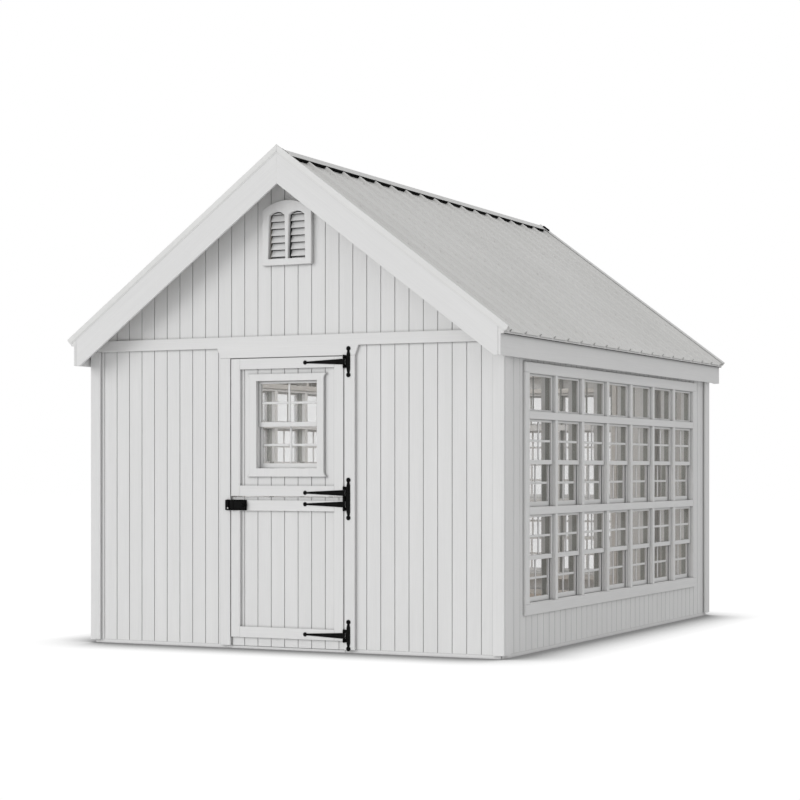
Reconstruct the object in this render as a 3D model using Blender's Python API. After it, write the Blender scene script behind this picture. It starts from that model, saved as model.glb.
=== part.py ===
# Garden greenhouse of timber: board walls, window banks in three walls, a ribbed metal
# roof and a split door on strap hinges. Metres, +Z up, door end towards -Y,
# origin on the ground in the middle of the plan.
import math

import bmesh
import bpy
from mathutils import Matrix, Vector

# Clearances
SEAT = 0.0003             # between pieces that touch
DOOR_GAP = 0.007          # round each door leaf
BITE = 0.004              # how far joined boxes run into each other

# Floor and walls
FLOOR_WIDTH = 3.048
FLOOR_LENGTH = 4.267
FLOOR_TOP = 0.140
SIDING = 0.0127           # grooved boards outside the studs
STUD = 0.089
SIDING_BOTTOM = 0.025
DOOR_HEADER = 0.089       # top of the walls above the door's head
BANK_HEADER = 0.2065      # top of the walls above the window banks
SEAM_DROP = 0.011         # joint between end wall and gable, below the top of the walls
TRIM = 0.019              # thickness of every outside trim board

# Roof
ROOF_RISE = 0.75          # rise over run
RAFTER_DEPTH = 0.089
RAFTER_WIDTH = 0.038
RAFTER_SPACING = 0.406
NOTCH = 0.038             # depth of the rafter's notch over the wall
DECK = 0.016
EAVE_OUT = 0.039          # siding to the back of the eave board
EAVE_DROP = 0.121         # bottom of the eave board below the top of the walls
RAKE_OUT = 0.146          # siding to the back of the rake board
RAKE_DEPTH = 0.165        # across the board, square to the slope
SHEET = 0.002             # roof metal
RIB_HEIGHT = 0.019
RIB_TOP = 0.018
RIB_FOOT = 0.044
RIB_PITCH = 0.248
SHEET_DRIP = 0.056        # metal past the eave board, level
RAKE_LIP = 0.030          # metal turned down over the rake board
CAP_WING = 0.125          # ridge cap each side, down the slope
CAP_OUT = 0.012           # ridge cap past the roof metal at each end

# Corner boards, band and door surround
CORNER_FRONT = 0.077
CORNER_SIDE = 0.090
CORNER_BOTTOM = 0.022
BAND = 0.075
BAND_LAP = 0.011          # band below the joint that it covers
CASING = 0.076
CASING_BOTTOM = 0.020
HEADER_TAPER = 0.026      # how much the header narrows down to the casings

# Door
DOOR_CENTRE = -0.0064
DOOR_WIDTH = 0.861
DOOR_HEAD = 1.941
DOOR_BOTTOM = 0.020
LEAF_BACK = 0.018         # bracing behind the door's boards
RAIL = 0.076
LOWER_RAIL_RAISE = 0.064  # lower rail above the bottom of its leaf

# Window in the upper leaf
PANE_WIDTH = 0.457
PANE_HEIGHT = 0.575
DOOR_PANE_SIDE = 0.202    # opening's edge from the door's edge
DOOR_PANE_DROP = 0.153    # opening's top below the door's head
DOOR_PANE_RISE = 0.189    # opening's bottom above the split
DOOR_FRAME_SIDE = 0.064   # face of the casing round it
DOOR_FRAME_END = 0.056
FRAME_EAR = 0.010
FRAME_FACE = 0.022
LINER = 0.019
LINER_DEPTH = 0.070       # behind the door's boards
SASH_RAIL = 0.026
SASH_SET = 0.022          # sashes behind the face of what frames them
SASH = 0.046              # both sashes of a window together
GLASS = 0.004

# Window banks in the side and back walls
BACK_BAYS = 3
MULLION = 0.0445
SILL = 0.3275             # bottom of the lower row
ROW_BAR = 0.0495
TRANSOM_HEIGHT = 0.247
BANK_FACE_SIDE = 0.076
BANK_FACE_TOP = 0.0765
BANK_FACE_BOTTOM = 0.0745
POST_BACK = 0.002         # posts behind the face of the casing
REVEAL = 0.004            # edge of a liner left bare by its casing

# Gable vent
VENT_WIDTH = 0.350
VENT_ABOVE = 0.467        # bottom of the vent above the band
VENT_SHOULDER = 0.363
VENT_RISE = 0.068
VENT_DEPTH = 0.030
VENT_STILE = 0.035
VENT_MULLION = 0.024
VENT_RAIL = 0.041
VENT_OPENING = 0.280      # up to the spring of its arches
VENT_ARCH = 0.032
BLADES = 6
BLADE = 0.006
BLADE_TILT = 58           # degrees, outer edge down

# Strap hinges and latch
HINGE_OUT = 0.001         # axis beyond the edge of the doorway
BARREL = 0.008
STRAP = 0.003
STRAP_LENGTH = 0.306
STRAP_WIDE = 0.038
STRAP_NARROW = 0.015
STRAP_BALL = 0.011
PLATE_WIDTH = 0.026
PLATE_OFFSET = 0.030      # plate's middle beyond the axis
PLATE_BALL = 0.014
TOP_STRAP_DROP = 0.035    # below the door's head
UPPER_STRAP_RISE = 0.025  # above the split
LOWER_STRAP_DROP = 0.050  # below the split
BOTTOM_STRAP_RISE = 0.097  # above the bottom of the door
SINGLE_PLATE = 0.180
DOUBLE_PLATE = 0.255
BARREL_LENGTH = 0.022
LATCH_LENGTH = 0.122
LATCH_HEIGHT = 0.064
LATCH_DEPTH = 0.026
LATCH_DROP = 0.060        # middle of the latch below the split
KEEPER = 0.028
KNOB = 0.012
KNOB_LENGTH = 0.024
KNOB_INSET = 0.018        # knob's middle from the end of the latch

# Facets of the curves
CROWN_STEPS = 12
ARCH_STEPS = 8
BALL_STEPS = 12

# Places that follow from the sizes
FACE_X = FLOOR_WIDTH / 2 + SIDING
FACE_Y = FLOOR_LENGTH / 2 + SIDING
WALL = SIDING + STUD
BANK_SPACE = 2 * (FACE_Y - CORNER_SIDE - BANK_FACE_SIDE)
SIDE_BAYS = int((BANK_SPACE + MULLION) / (PANE_WIDTH + MULLION))  # as many as fit
SASH_FRONT = POST_BACK + SASH_SET + SEAT - TRIM  # behind the face of the siding
GLASS_FRONT = SASH_FRONT + SASH + SEAT
RECESS = GLASS_FRONT + GLASS + SEAT
MIDDLE_ROW = SILL + PANE_HEIGHT + ROW_BAR
TRANSOM_ROW = MIDDLE_ROW + PANE_HEIGHT + ROW_BAR
BANK_TOP = TRANSOM_ROW + TRANSOM_HEIGHT
WALL_TOP = max(DOOR_HEAD + DOOR_HEADER, BANK_TOP + BANK_HEADER)
GABLE_SEAM = WALL_TOP - SEAM_DROP
BAND_BOTTOM = GABLE_SEAM - BAND_LAP
BAND_TOP = BAND_BOTTOM + BAND
CORNER_TOP = BAND_BOTTOM - SEAT
VENT_BOTTOM = BAND_TOP + VENT_ABOVE
SLOPE = math.atan(ROOF_RISE)
UPRIGHT = 1 / math.cos(SLOPE)
RAFTER_RIDGE = WALL_TOP - NOTCH + FACE_X * ROOF_RISE
DECK_RIDGE = RAFTER_RIDGE + RAFTER_DEPTH * UPRIGHT
ROOF_RIDGE = DECK_RIDGE + DECK * UPRIGHT
EAVE_BACK = FACE_X + EAVE_OUT
EAVE_FACE = EAVE_BACK + TRIM
EAVE_BOTTOM = WALL_TOP - EAVE_DROP
RAKE_BACK = FACE_Y + RAKE_OUT
RAKE_FACE = RAKE_BACK + TRIM
DOOR_LEFT = DOOR_CENTRE - DOOR_WIDTH / 2
DOOR_RIGHT = DOOR_CENTRE + DOOR_WIDTH / 2
LEAF_LEFT = DOOR_LEFT + DOOR_GAP
LEAF_RIGHT = DOOR_RIGHT - DOOR_GAP
DOOR_FACE = FACE_Y + TRIM
DOOR_PANE_TOP = DOOR_HEAD - DOOR_PANE_DROP
DOOR_PANE_BOTTOM = DOOR_PANE_TOP - PANE_HEIGHT
DOOR_SPLIT = DOOR_PANE_BOTTOM - DOOR_PANE_RISE
HINGE_AXIS = DOOR_RIGHT + HINGE_OUT
TOP_STRAP = DOOR_HEAD - TOP_STRAP_DROP
UPPER_MIDDLE_STRAP = DOOR_SPLIT + UPPER_STRAP_RISE
LOWER_MIDDLE_STRAP = DOOR_SPLIT - LOWER_STRAP_DROP
BOTTOM_STRAP = DOOR_BOTTOM + BOTTOM_STRAP_RISE
LATCH_MIDDLE = DOOR_SPLIT - LATCH_DROP

collections = {}
materials = {}


def clear_scene():
    for obj in list(bpy.data.objects):
        bpy.data.objects.remove(obj, do_unlink=True)


def make_collections():
    for name in ("greenhouse", "cutters"):
        collections[name] = bpy.data.collections.new(name)
        bpy.context.scene.collection.children.link(collections[name])


def material(name, color, roughness, metallic=0.0):
    if name not in materials:
        made = bpy.data.materials.new(name)
        made.use_nodes = True
        shader = made.node_tree.nodes["Principled BSDF"]
        shader.inputs["Base Color"].default_value = (*color, 1)
        shader.inputs["Roughness"].default_value = roughness
        shader.inputs["Metallic"].default_value = metallic
        materials[name] = made
    return materials[name]


def painted_boards():
    return material("painted_boards", (0.71, 0.71, 0.70), 0.6)


def painted_trim():
    return material("painted_trim", (0.73, 0.73, 0.73), 0.55)


def roof_metal():
    return material("roof_metal", (0.60, 0.60, 0.59), 0.4, 0.3)


def bare_timber():
    return material("bare_timber", (0.62, 0.60, 0.57), 0.8)


def window_glass():
    return material("window_glass", (0.80, 0.83, 0.84), 0.05)


def black_iron():
    return material("black_iron", (0.015, 0.015, 0.016), 0.5, 0.6)


def file_under(obj, collection):
    for other in list(obj.users_collection):
        other.objects.unlink(obj)
    collections[collection].objects.link(obj)


def finish_piece(obj, finish, parent=None):
    obj.data.materials.clear()
    obj.data.materials.append(finish)
    file_under(obj, "greenhouse")
    if parent:
        attach(obj, parent)
    return obj


def attach(obj, parent):
    obj.parent = parent
    return obj


def as_cutter(obj, parent=None):
    obj.hide_render = True
    obj.display_type = "WIRE"
    file_under(obj, "cutters")
    if parent:
        attach(obj, parent)
    return obj


def box(name, low, high):
    low, high = Vector(low), Vector(high)
    bpy.ops.mesh.primitive_cube_add(size=1, location=(low + high) / 2)
    obj = bpy.context.active_object
    obj.name = name
    obj.scale = high - low
    bpy.ops.object.transform_apply(location=False, rotation=False, scale=True)
    return obj


def cylinder(name, centre, radius, length, sides=16):
    bpy.ops.mesh.primitive_cylinder_add(
        vertices=sides, radius=radius, depth=length, location=centre
    )
    obj = bpy.context.active_object
    obj.name = name
    return obj


def plate(name, outline, holes, thickness, frame):
    """A flat outline with holes, as a closed mesh standing half its thickness either side."""
    curve = bpy.data.curves.new(name, "CURVE")
    curve.dimensions = "2D"
    curve.fill_mode = "BOTH"
    curve.extrude = thickness / 2
    for loop in [outline] + list(holes):
        spline = curve.splines.new("POLY")
        spline.points.add(len(loop) - 1)
        for point, (x, y) in zip(spline.points, loop):
            point.co = (x, y, 0, 1)
        spline.use_cyclic_u = True
    drawn = bpy.data.objects.new(name + "_curve", curve)
    bpy.context.scene.collection.objects.link(drawn)
    drawn.matrix_world = frame
    bpy.context.view_layer.update()
    mesh = bpy.data.meshes.new_from_object(
        drawn.evaluated_get(bpy.context.evaluated_depsgraph_get())
    )
    shape = bmesh.new()
    shape.from_mesh(mesh)
    bmesh.ops.remove_doubles(shape, verts=shape.verts, dist=0.00001)
    shape.to_mesh(mesh)
    shape.free()
    obj = bpy.data.objects.new(name, mesh)
    bpy.context.scene.collection.objects.link(obj)
    obj.matrix_world = drawn.matrix_world
    bpy.data.objects.remove(drawn, do_unlink=True)
    return obj


def facing_front(y):
    """Drawn in X and Z, thickness along Y."""
    return Matrix.Translation((0, y, 0)) @ Matrix.Rotation(math.pi / 2, 4, "X")


def facing_side(x):
    """Drawn in Y and Z, thickness along X."""
    turn = Matrix.Rotation(math.pi / 2, 4, "Z") @ Matrix.Rotation(math.pi / 2, 4, "X")
    return Matrix.Translation((x, 0, 0)) @ turn


def lying(z):
    """Drawn in X and Y, thickness along Z."""
    return Matrix.Translation((0, 0, z))


def rectangle(left, right, bottom, top):
    return [(left, bottom), (right, bottom), (right, top), (left, top)]


def arc(centre, radius, start, end, steps):
    """Points on an arc, angles in degrees."""
    points = []
    for step in range(steps + 1):
        angle = math.radians(start + (end - start) * step / steps)
        x = centre[0] + radius * math.cos(angle)
        y = centre[1] + radius * math.sin(angle)
        points.append((x, y))
    return points


def combine(obj, tool, operation, solver="EXACT"):
    change = obj.modifiers.new(tool.name, "BOOLEAN")
    change.operation = operation
    change.object = tool
    change.solver = solver


def join(obj, tool, parent=None, solver="EXACT"):
    combine(obj, as_cutter(tool, parent), "UNION", solver)


def cut(obj, tool, parent=None):
    combine(obj, as_cutter(tool, parent), "DIFFERENCE")


def turned_empty(name, angle):
    """Pieces under it are drawn once and turned about the middle of the building."""
    empty = bpy.data.objects.new(name, None)
    empty.rotation_euler = (0, 0, angle)
    collections["greenhouse"].objects.link(empty)
    bpy.context.view_layer.update()
    return empty


def roof_height(x, ridge):
    return ridge - abs(x) * ROOF_RISE


def build_floor():
    half_x = FLOOR_WIDTH / 2
    half_y = FLOOR_LENGTH / 2
    rebate = -half_y + DOOR_GAP
    outline = [
        (-half_x, -half_y),
        (DOOR_LEFT, -half_y),
        (DOOR_LEFT, rebate),
        (DOOR_RIGHT, rebate),
        (DOOR_RIGHT, -half_y),
        (half_x, -half_y),
        (half_x, half_y),
        (-half_x, half_y),
    ]
    floor = plate("floor_deck", outline, [], FLOOR_TOP, lying(FLOOR_TOP / 2))
    finish_piece(floor, bare_timber())


def end_place(depth):
    """For a plate in an end wall, its middle this far behind the face of the siding."""
    return facing_front(-FACE_Y + depth)


def side_place(depth):
    """The same in a side wall."""
    return facing_side(FACE_X - depth)


def wall_panel(name, span, top, bays, place, parent):
    """Stands on the floor, its boards lapped down over the floor's edge."""
    left, right = span
    outline = rectangle(left, right, SIDING_BOTTOM, top)
    wall = plate(name, outline, [], WALL, place(WALL / 2))
    foot = rectangle(left - BITE, right + BITE, SIDING_BOTTOM - BITE, FLOOR_TOP + SEAT)
    lap = SIDING - SEAT
    above_floor = plate(
        name + "_step", foot, [], WALL + BITE - lap, place((WALL + BITE + lap) / 2)
    )
    cut(wall, above_floor, parent)
    if bays:
        edge = bank_outline(bays, LINER + SEAT)
        recess = plate(
            name + "_recess", edge, [], RECESS + BITE, place((RECESS - BITE) / 2)
        )
        cut(wall, recess, parent)
        first, *others = [rectangle(*opening[:4]) for opening in bank_openings(bays)]
        through = plate(
            name + "_openings", first, others, WALL + 2 * BITE, place(WALL / 2)
        )
        cut(wall, through, parent)
    finish_piece(wall, painted_boards(), parent)


def gable(name, parent, with_header):
    """Gable over an end wall, under the roof deck, with the vent's opening cut through."""
    under = DECK_RIDGE - SEAT * UPRIGHT
    base = GABLE_SEAM + SEAT
    outline = [(-FACE_X, base)]
    if with_header:
        head = DOOR_HEAD
        outline += [
            (DOOR_LEFT + SEAT, base),
            (DOOR_LEFT + SEAT, head),
            (DOOR_RIGHT - SEAT, head),
            (DOOR_RIGHT - SEAT, base),
        ]
    outline += [
        (FACE_X, base),
        (FACE_X, roof_height(FACE_X, under)),
        (0, under),
        (-FACE_X, roof_height(FACE_X, under)),
    ]
    half = VENT_WIDTH / 2 - VENT_STILE
    bottom = VENT_BOTTOM + VENT_RAIL
    hole = rectangle(-half, half, bottom, bottom + VENT_OPENING)
    piece = plate(name, outline, [hole], WALL, facing_front(-FACE_Y + WALL / 2))
    finish_piece(piece, painted_boards(), parent)


def corner_board(name, side, parent):
    """One L of two boards; side is 1 at +X and -1 at -X."""
    front = -FACE_Y - TRIM
    outer = side * (FACE_X + TRIM)
    outline = [
        (outer, front),
        (outer, -FACE_Y + CORNER_SIDE),
        (side * (FACE_X + SEAT), -FACE_Y + CORNER_SIDE),
        (side * (FACE_X + SEAT), -FACE_Y - SEAT),
        (side * (FACE_X + TRIM - CORNER_FRONT), -FACE_Y - SEAT),
        (side * (FACE_X + TRIM - CORNER_FRONT), front),
    ]
    height = CORNER_TOP - CORNER_BOTTOM
    board = plate(name, outline, [], height, lying(CORNER_BOTTOM + height / 2))
    finish_piece(board, painted_trim(), parent)


def band(name, parent, with_header):
    """Band under the gable; over the door it widens down into the header."""
    half = FACE_X + TRIM
    outline = [(-half, BAND_BOTTOM)]
    if with_header:
        wide = DOOR_WIDTH / 2 + CASING + HEADER_TAPER
        narrow = DOOR_WIDTH / 2 + CASING + SEAT
        head = DOOR_HEAD + SEAT
        outline += [
            (DOOR_CENTRE - wide, BAND_BOTTOM),
            (DOOR_CENTRE - narrow, head),
            (DOOR_CENTRE + narrow, head),
            (DOOR_CENTRE + wide, BAND_BOTTOM),
        ]
    outline += [(half, BAND_BOTTOM), (half, BAND_TOP), (-half, BAND_TOP)]
    piece = plate(name, outline, [], TRIM - SEAT, facing_front(-FACE_Y - (TRIM + SEAT) / 2))
    finish_piece(piece, painted_trim(), parent)


def gable_vent(name, parent):
    """Arch-topped frame with two louvred openings, blades let into the frame."""
    half = VENT_WIDTH / 2
    top = VENT_BOTTOM + VENT_SHOULDER
    radius = (half**2 + VENT_RISE**2) / (2 * VENT_RISE)
    sweep = math.degrees(math.asin(half / radius))
    crown = arc((0, top + VENT_RISE - radius), radius, 90 - sweep, 90 + sweep, CROWN_STEPS)
    outline = [(-half, VENT_BOTTOM), (half, VENT_BOTTOM)] + crown
    bottom = VENT_BOTTOM + VENT_RAIL
    spring = bottom + VENT_OPENING
    width = half - VENT_STILE - VENT_MULLION / 2
    middle = VENT_MULLION / 2 + width / 2
    arch_radius = ((width / 2) ** 2 + VENT_ARCH**2) / (2 * VENT_ARCH)
    arch_sweep = math.degrees(math.asin(width / 2 / arch_radius))
    holes = []
    for side in (-1, 1):
        centre = (side * middle, spring + VENT_ARCH - arch_radius)
        arch = arc(centre, arch_radius, 90 - arch_sweep, 90 + arch_sweep, ARCH_STEPS)
        left = side * middle - width / 2
        holes.append([(left, bottom), (left + width, bottom)] + arch)
    depth = VENT_DEPTH - SEAT
    face = -FACE_Y - SEAT - depth / 2
    vent = plate(name, outline, holes, depth, facing_front(face))
    pitch = VENT_OPENING / BLADES
    tilt = math.radians(BLADE_TILT)
    reach = (depth / 2 - SEAT - BLADE / 2 * math.sin(tilt)) / math.cos(tilt)
    for side in (-1, 1):
        for blade in range(BLADES):
            left = side * middle - width / 2 - BITE
            right = side * middle + width / 2 + BITE
            slat = box(
                "%s_blade_%s_%d" % (name, "left" if side < 0 else "right", blade),
                (left, -reach, -BLADE / 2),
                (right, reach, BLADE / 2),
            )
            slat.rotation_euler = (tilt, 0, 0)
            slat.location = (slat.location.x, face, bottom + pitch / 2 + pitch * blade)
            join(vent, slat, parent)
    finish_piece(vent, painted_trim(), parent)


def build_end(name, angle, door_end):
    parent = turned_empty(name + "_end", angle)
    if door_end:
        left = (-FACE_X, DOOR_LEFT)
        right = (DOOR_RIGHT, FACE_X)
        wall_panel(name + "_wall_left", left, GABLE_SEAM, 0, end_place, parent)
        wall_panel(name + "_wall_right", right, GABLE_SEAM, 0, end_place, parent)
    else:
        whole = (-FACE_X, FACE_X)
        wall_panel(name + "_wall", whole, GABLE_SEAM, BACK_BAYS, end_place, parent)
        window_bank(name, BACK_BAYS, end_place, parent)
    gable(name + "_gable", parent, door_end)
    corner_board(name + "_corner_left" if door_end else name + "_corner_right", -1, parent)
    corner_board(name + "_corner_right" if door_end else name + "_corner_left", 1, parent)
    band(name + "_band", parent, door_end)
    gable_vent(name + "_vent", parent)


def bank_width(bays):
    return bays * PANE_WIDTH + (bays - 1) * MULLION


def bank_outline(bays, margin):
    """The edge of a whole window bank, widened by the margin."""
    half = bank_width(bays) / 2 + margin
    return rectangle(-half, half, SILL - margin, BANK_TOP + margin)


def bank_openings(bays):
    """The openings of a bank with the sashes that each takes, one above the other."""
    rows = (
        (SILL, SILL + PANE_HEIGHT, 2),
        (MIDDLE_ROW, MIDDLE_ROW + PANE_HEIGHT, 2),
        (TRANSOM_ROW, BANK_TOP, 1),
    )
    openings = []
    for bay in range(bays):
        left = -bank_width(bays) / 2 + bay * (PANE_WIDTH + MULLION)
        for bottom, top, sashes in rows:
            openings.append((left, left + PANE_WIDTH, bottom, top, sashes))
    return openings


def window_frame(name, bays, place, parent):
    """Posts and bars between the windows, and the casing on the boards round them."""
    half = bank_width(bays) / 2
    outline = rectangle(
        -half - BANK_FACE_SIDE,
        half + BANK_FACE_SIDE,
        SILL - BANK_FACE_BOTTOM,
        BANK_TOP + BANK_FACE_TOP,
    )
    thick = TRIM - SEAT
    casing = plate(
        name, outline, [bank_outline(bays, REVEAL)], thick, place(-SEAT - thick / 2)
    )
    holes = [rectangle(*opening[:4]) for opening in bank_openings(bays)]
    posts = plate(
        name + "_posts",
        bank_outline(bays, LINER),
        holes,
        SASH_SET,
        place(POST_BACK - TRIM + SASH_SET / 2),
    )
    join(casing, posts, parent, "MANIFOLD")  # the exact solver leaves this one open
    finish_piece(casing, painted_trim(), parent)


def window_sashes(name, bays, place, parent):
    """The sashes of one bank: a light in each transom, two in each window below."""
    lights = []
    for left, right, bottom, top, sashes in bank_openings(bays):
        height = (top - bottom - (sashes + 1) * SASH_RAIL) / sashes
        for sash in range(sashes):
            foot = bottom + SASH_RAIL + sash * (height + SASH_RAIL)
            lights.append(
                rectangle(left + SASH_RAIL, right - SASH_RAIL, foot, foot + height)
            )
    outline = bank_outline(bays, LINER)
    sashes = plate(name, outline, lights, SASH, place(SASH_FRONT + SASH / 2))
    finish_piece(sashes, painted_trim(), parent)


def window_bank(wall, bays, place, parent):
    window_frame(wall + "_window_frame", bays, place, parent)
    window_sashes(wall + "_window_sashes", bays, place, parent)
    pane = plate(
        wall + "_window_glass",
        bank_outline(bays, LINER),
        [],
        GLASS,
        place(GLASS_FRONT + GLASS / 2),
    )
    finish_piece(pane, window_glass(), parent)


def rafter_outline():
    """A rafter from the ridge to the eave board, notched over the side wall."""
    seat = WALL_TOP + SEAT
    heel = FACE_X + SEAT
    top = DECK_RIDGE + BITE
    end = EAVE_BACK - SEAT
    inner = (RAFTER_RIDGE - seat) / ROOF_RISE
    return [
        (SEAT, RAFTER_RIDGE),
        (inner, seat),
        (heel, seat),
        (heel, roof_height(heel, RAFTER_RIDGE)),
        (end, roof_height(end, RAFTER_RIDGE)),
        (end, roof_height(end, top)),
        (SEAT, top),
    ]


def roof_deck(side, parent):
    """Deck boards with the rafters and the blocking over the wall fixed under them."""
    deck_outline = [
        (SEAT, DECK_RIDGE),
        (EAVE_FACE, roof_height(EAVE_FACE, DECK_RIDGE)),
        (EAVE_FACE, roof_height(EAVE_FACE, ROOF_RIDGE)),
        (SEAT, ROOF_RIDGE),
    ]
    name = side + "_roof_deck"
    length = 2 * (RAKE_BACK - SEAT)
    deck = plate(name, deck_outline, [], length, facing_front(0))
    reach = FACE_Y - WALL
    blocking_outline = [
        (FACE_X - RAFTER_WIDTH, WALL_TOP + SEAT),
        (FACE_X, WALL_TOP + SEAT),
        (FACE_X, roof_height(FACE_X, DECK_RIDGE + BITE)),
        (FACE_X - RAFTER_WIDTH, roof_height(FACE_X - RAFTER_WIDTH, DECK_RIDGE + BITE)),
    ]
    blocking = plate(
        name + "_blocking", blocking_outline, [], 2 * (reach - SEAT), facing_front(0)
    )
    join(deck, blocking, parent)
    count = int((reach - RAFTER_WIDTH) / RAFTER_SPACING)
    for place in range(-count, count + 1):
        rafter = plate(
            "%s_rafter_%d" % (name, place + count),
            rafter_outline(),
            [],
            RAFTER_WIDTH,
            facing_front(place * RAFTER_SPACING),
        )
        join(deck, rafter, parent)
    finish_piece(deck, bare_timber(), parent)


def down_slope(middle):
    """Drawn along Y and square to the right-hand slope; thickness runs down the slope."""
    along = Vector((0, 1, 0))
    out = Vector((math.sin(SLOPE), 0, math.cos(SLOPE)))
    down = along.cross(out)
    frame = Matrix((along, out, down)).transposed().to_4x4()
    frame.translation = middle
    return frame


def rib_profile():
    """Section of the roof metal, flat with ribs, turned down at both rakes."""
    half = RAKE_FACE + SEAT + SHEET
    ribs = int(half / RIB_PITCH)
    upper = []
    for rib in range(-ribs, ribs + 1):
        middle = rib * RIB_PITCH
        upper += [
            (middle - RIB_FOOT / 2, SHEET),
            (middle - RIB_TOP / 2, RIB_HEIGHT),
            (middle + RIB_TOP / 2, RIB_HEIGHT),
            (middle + RIB_FOOT / 2, SHEET),
        ]
    lower = [(half - SHEET, 0), (-half + SHEET, 0)]
    return (
        [(-half + SHEET, -RAKE_LIP), (-half, -RAKE_LIP), (-half, SHEET)]
        + upper
        + [(half, SHEET), (half, -RAKE_LIP), (half - SHEET, -RAKE_LIP)]
        + lower
    )


def roof_metal_sheet(side, parent):
    """Ribbed metal from the ridge to past the eave board."""
    run = EAVE_FACE + SHEET_DRIP
    length = run * UPRIGHT
    out = Vector((math.sin(SLOPE), 0, math.cos(SLOPE)))
    down = Vector((math.cos(SLOPE), 0, -math.sin(SLOPE)))
    start = Vector((0, 0, ROOF_RIDGE)) + out * SEAT
    ridge_gap = RAKE_LIP * ROOF_RISE + SEAT
    middle = start + down * (ridge_gap + length) / 2
    sheet = plate(
        side + "_roof_metal", rib_profile(), [], length - ridge_gap, down_slope(middle)
    )
    finish_piece(sheet, roof_metal(), parent)


def rake_board(name, end, parent):
    """Board up the slope at one end of the roof, cut level at the eave."""
    lower = ROOF_RIDGE - RAKE_DEPTH * UPRIGHT
    toe = (lower - EAVE_BOTTOM) / ROOF_RISE
    outline = [
        (SEAT, lower),
        (toe, EAVE_BOTTOM),
        (EAVE_FACE, EAVE_BOTTOM),
        (EAVE_FACE, roof_height(EAVE_FACE, ROOF_RIDGE)),
        (SEAT, ROOF_RIDGE),
    ]
    board = plate(name, outline, [], TRIM, facing_front(end * (RAKE_BACK + TRIM / 2)))
    finish_piece(board, painted_trim(), parent)


def eave_board(side, parent):
    top = roof_height(EAVE_FACE, DECK_RIDGE) - SEAT
    reach = RAKE_BACK - SEAT
    board = box(side + "_eave_board", (EAVE_BACK, -reach, EAVE_BOTTOM), (EAVE_FACE, reach, top))
    finish_piece(board, painted_trim(), parent)


def build_side(side, angle):
    parent = turned_empty(side + "_side", angle)
    reach = FACE_Y - WALL - SEAT
    wall_panel(side + "_wall", (-reach, reach), WALL_TOP, SIDE_BAYS, side_place, parent)
    window_bank(side, SIDE_BAYS, side_place, parent)
    roof_deck(side, parent)
    roof_metal_sheet(side, parent)
    eave_board(side, parent)
    near, far = ("front", "back") if side == "right" else ("back", "front")
    rake_board("%s_rake_%s" % (near, side), -1, parent)
    rake_board("%s_rake_%s" % (far, side), 1, parent)


def build_ridge_cap():
    """Folded cap that rests on the ribs of both slopes."""
    rest = (RIB_HEIGHT + 2 * SEAT) * UPRIGHT + ROOF_RIDGE
    reach = CAP_WING / UPRIGHT
    thick = SHEET * UPRIGHT
    outline = [
        (-reach, roof_height(reach, rest)),
        (0, rest),
        (reach, roof_height(reach, rest)),
        (reach, roof_height(reach, rest) + thick),
        (0, rest + thick),
        (-reach, roof_height(reach, rest) + thick),
    ]
    length = 2 * (RAKE_FACE + CAP_OUT)
    cap = plate("ridge_cap", outline, [], length, facing_front(0))
    finish_piece(cap, roof_metal())


def door_casing(side):
    if side == "left":
        left, right = DOOR_LEFT - CASING, DOOR_LEFT
    else:
        left, right = DOOR_RIGHT, DOOR_RIGHT + CASING
    board = box(
        "door_casing_" + side,
        (left, -DOOR_FACE, CASING_BOTTOM),
        (right, -FACE_Y - SEAT, DOOR_HEAD),
    )
    finish_piece(board, painted_trim())


def hinge_empty(name):
    """Stands on the hinge axis; the leaf and all that is on it hang from it."""
    empty = bpy.data.objects.new(name, None)
    empty.location = (HINGE_AXIS, -DOOR_FACE - BARREL, 0)
    collections["greenhouse"].objects.link(empty)
    bpy.context.view_layer.update()
    return empty


def hang(obj, hinge):
    """Parents a piece to the hinge axis and leaves it where it is."""
    obj.parent = hinge
    obj.matrix_parent_inverse = hinge.matrix_world.inverted()


def door_leaf(name, bottom, top, lower_rail):
    """Boards with stiles and rails on their face and bracing behind, above the floor."""
    leaf = box(name, (LEAF_LEFT, -FACE_Y, bottom), (LEAF_RIGHT, -FACE_Y + SIDING, top))
    brace_bottom = max(bottom, FLOOR_TOP + DOOR_GAP)
    brace = box(
        name + "_brace",
        (LEAF_LEFT, -FACE_Y + SIDING / 2, brace_bottom),
        (LEAF_RIGHT, -FACE_Y + SIDING + LEAF_BACK, top),
    )
    join(leaf, brace)
    rail_bottom = bottom + lower_rail
    outer = rectangle(LEAF_LEFT, LEAF_RIGHT, rail_bottom, top)
    inner = rectangle(
        LEAF_LEFT + RAIL, LEAF_RIGHT - RAIL, rail_bottom + RAIL, top - RAIL
    )
    thick = TRIM + BITE
    face = plate(
        name + "_face", outer, [inner], thick, facing_front(-DOOR_FACE + thick / 2)
    )
    join(leaf, face)
    finish_piece(leaf, painted_boards())
    return leaf


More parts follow.
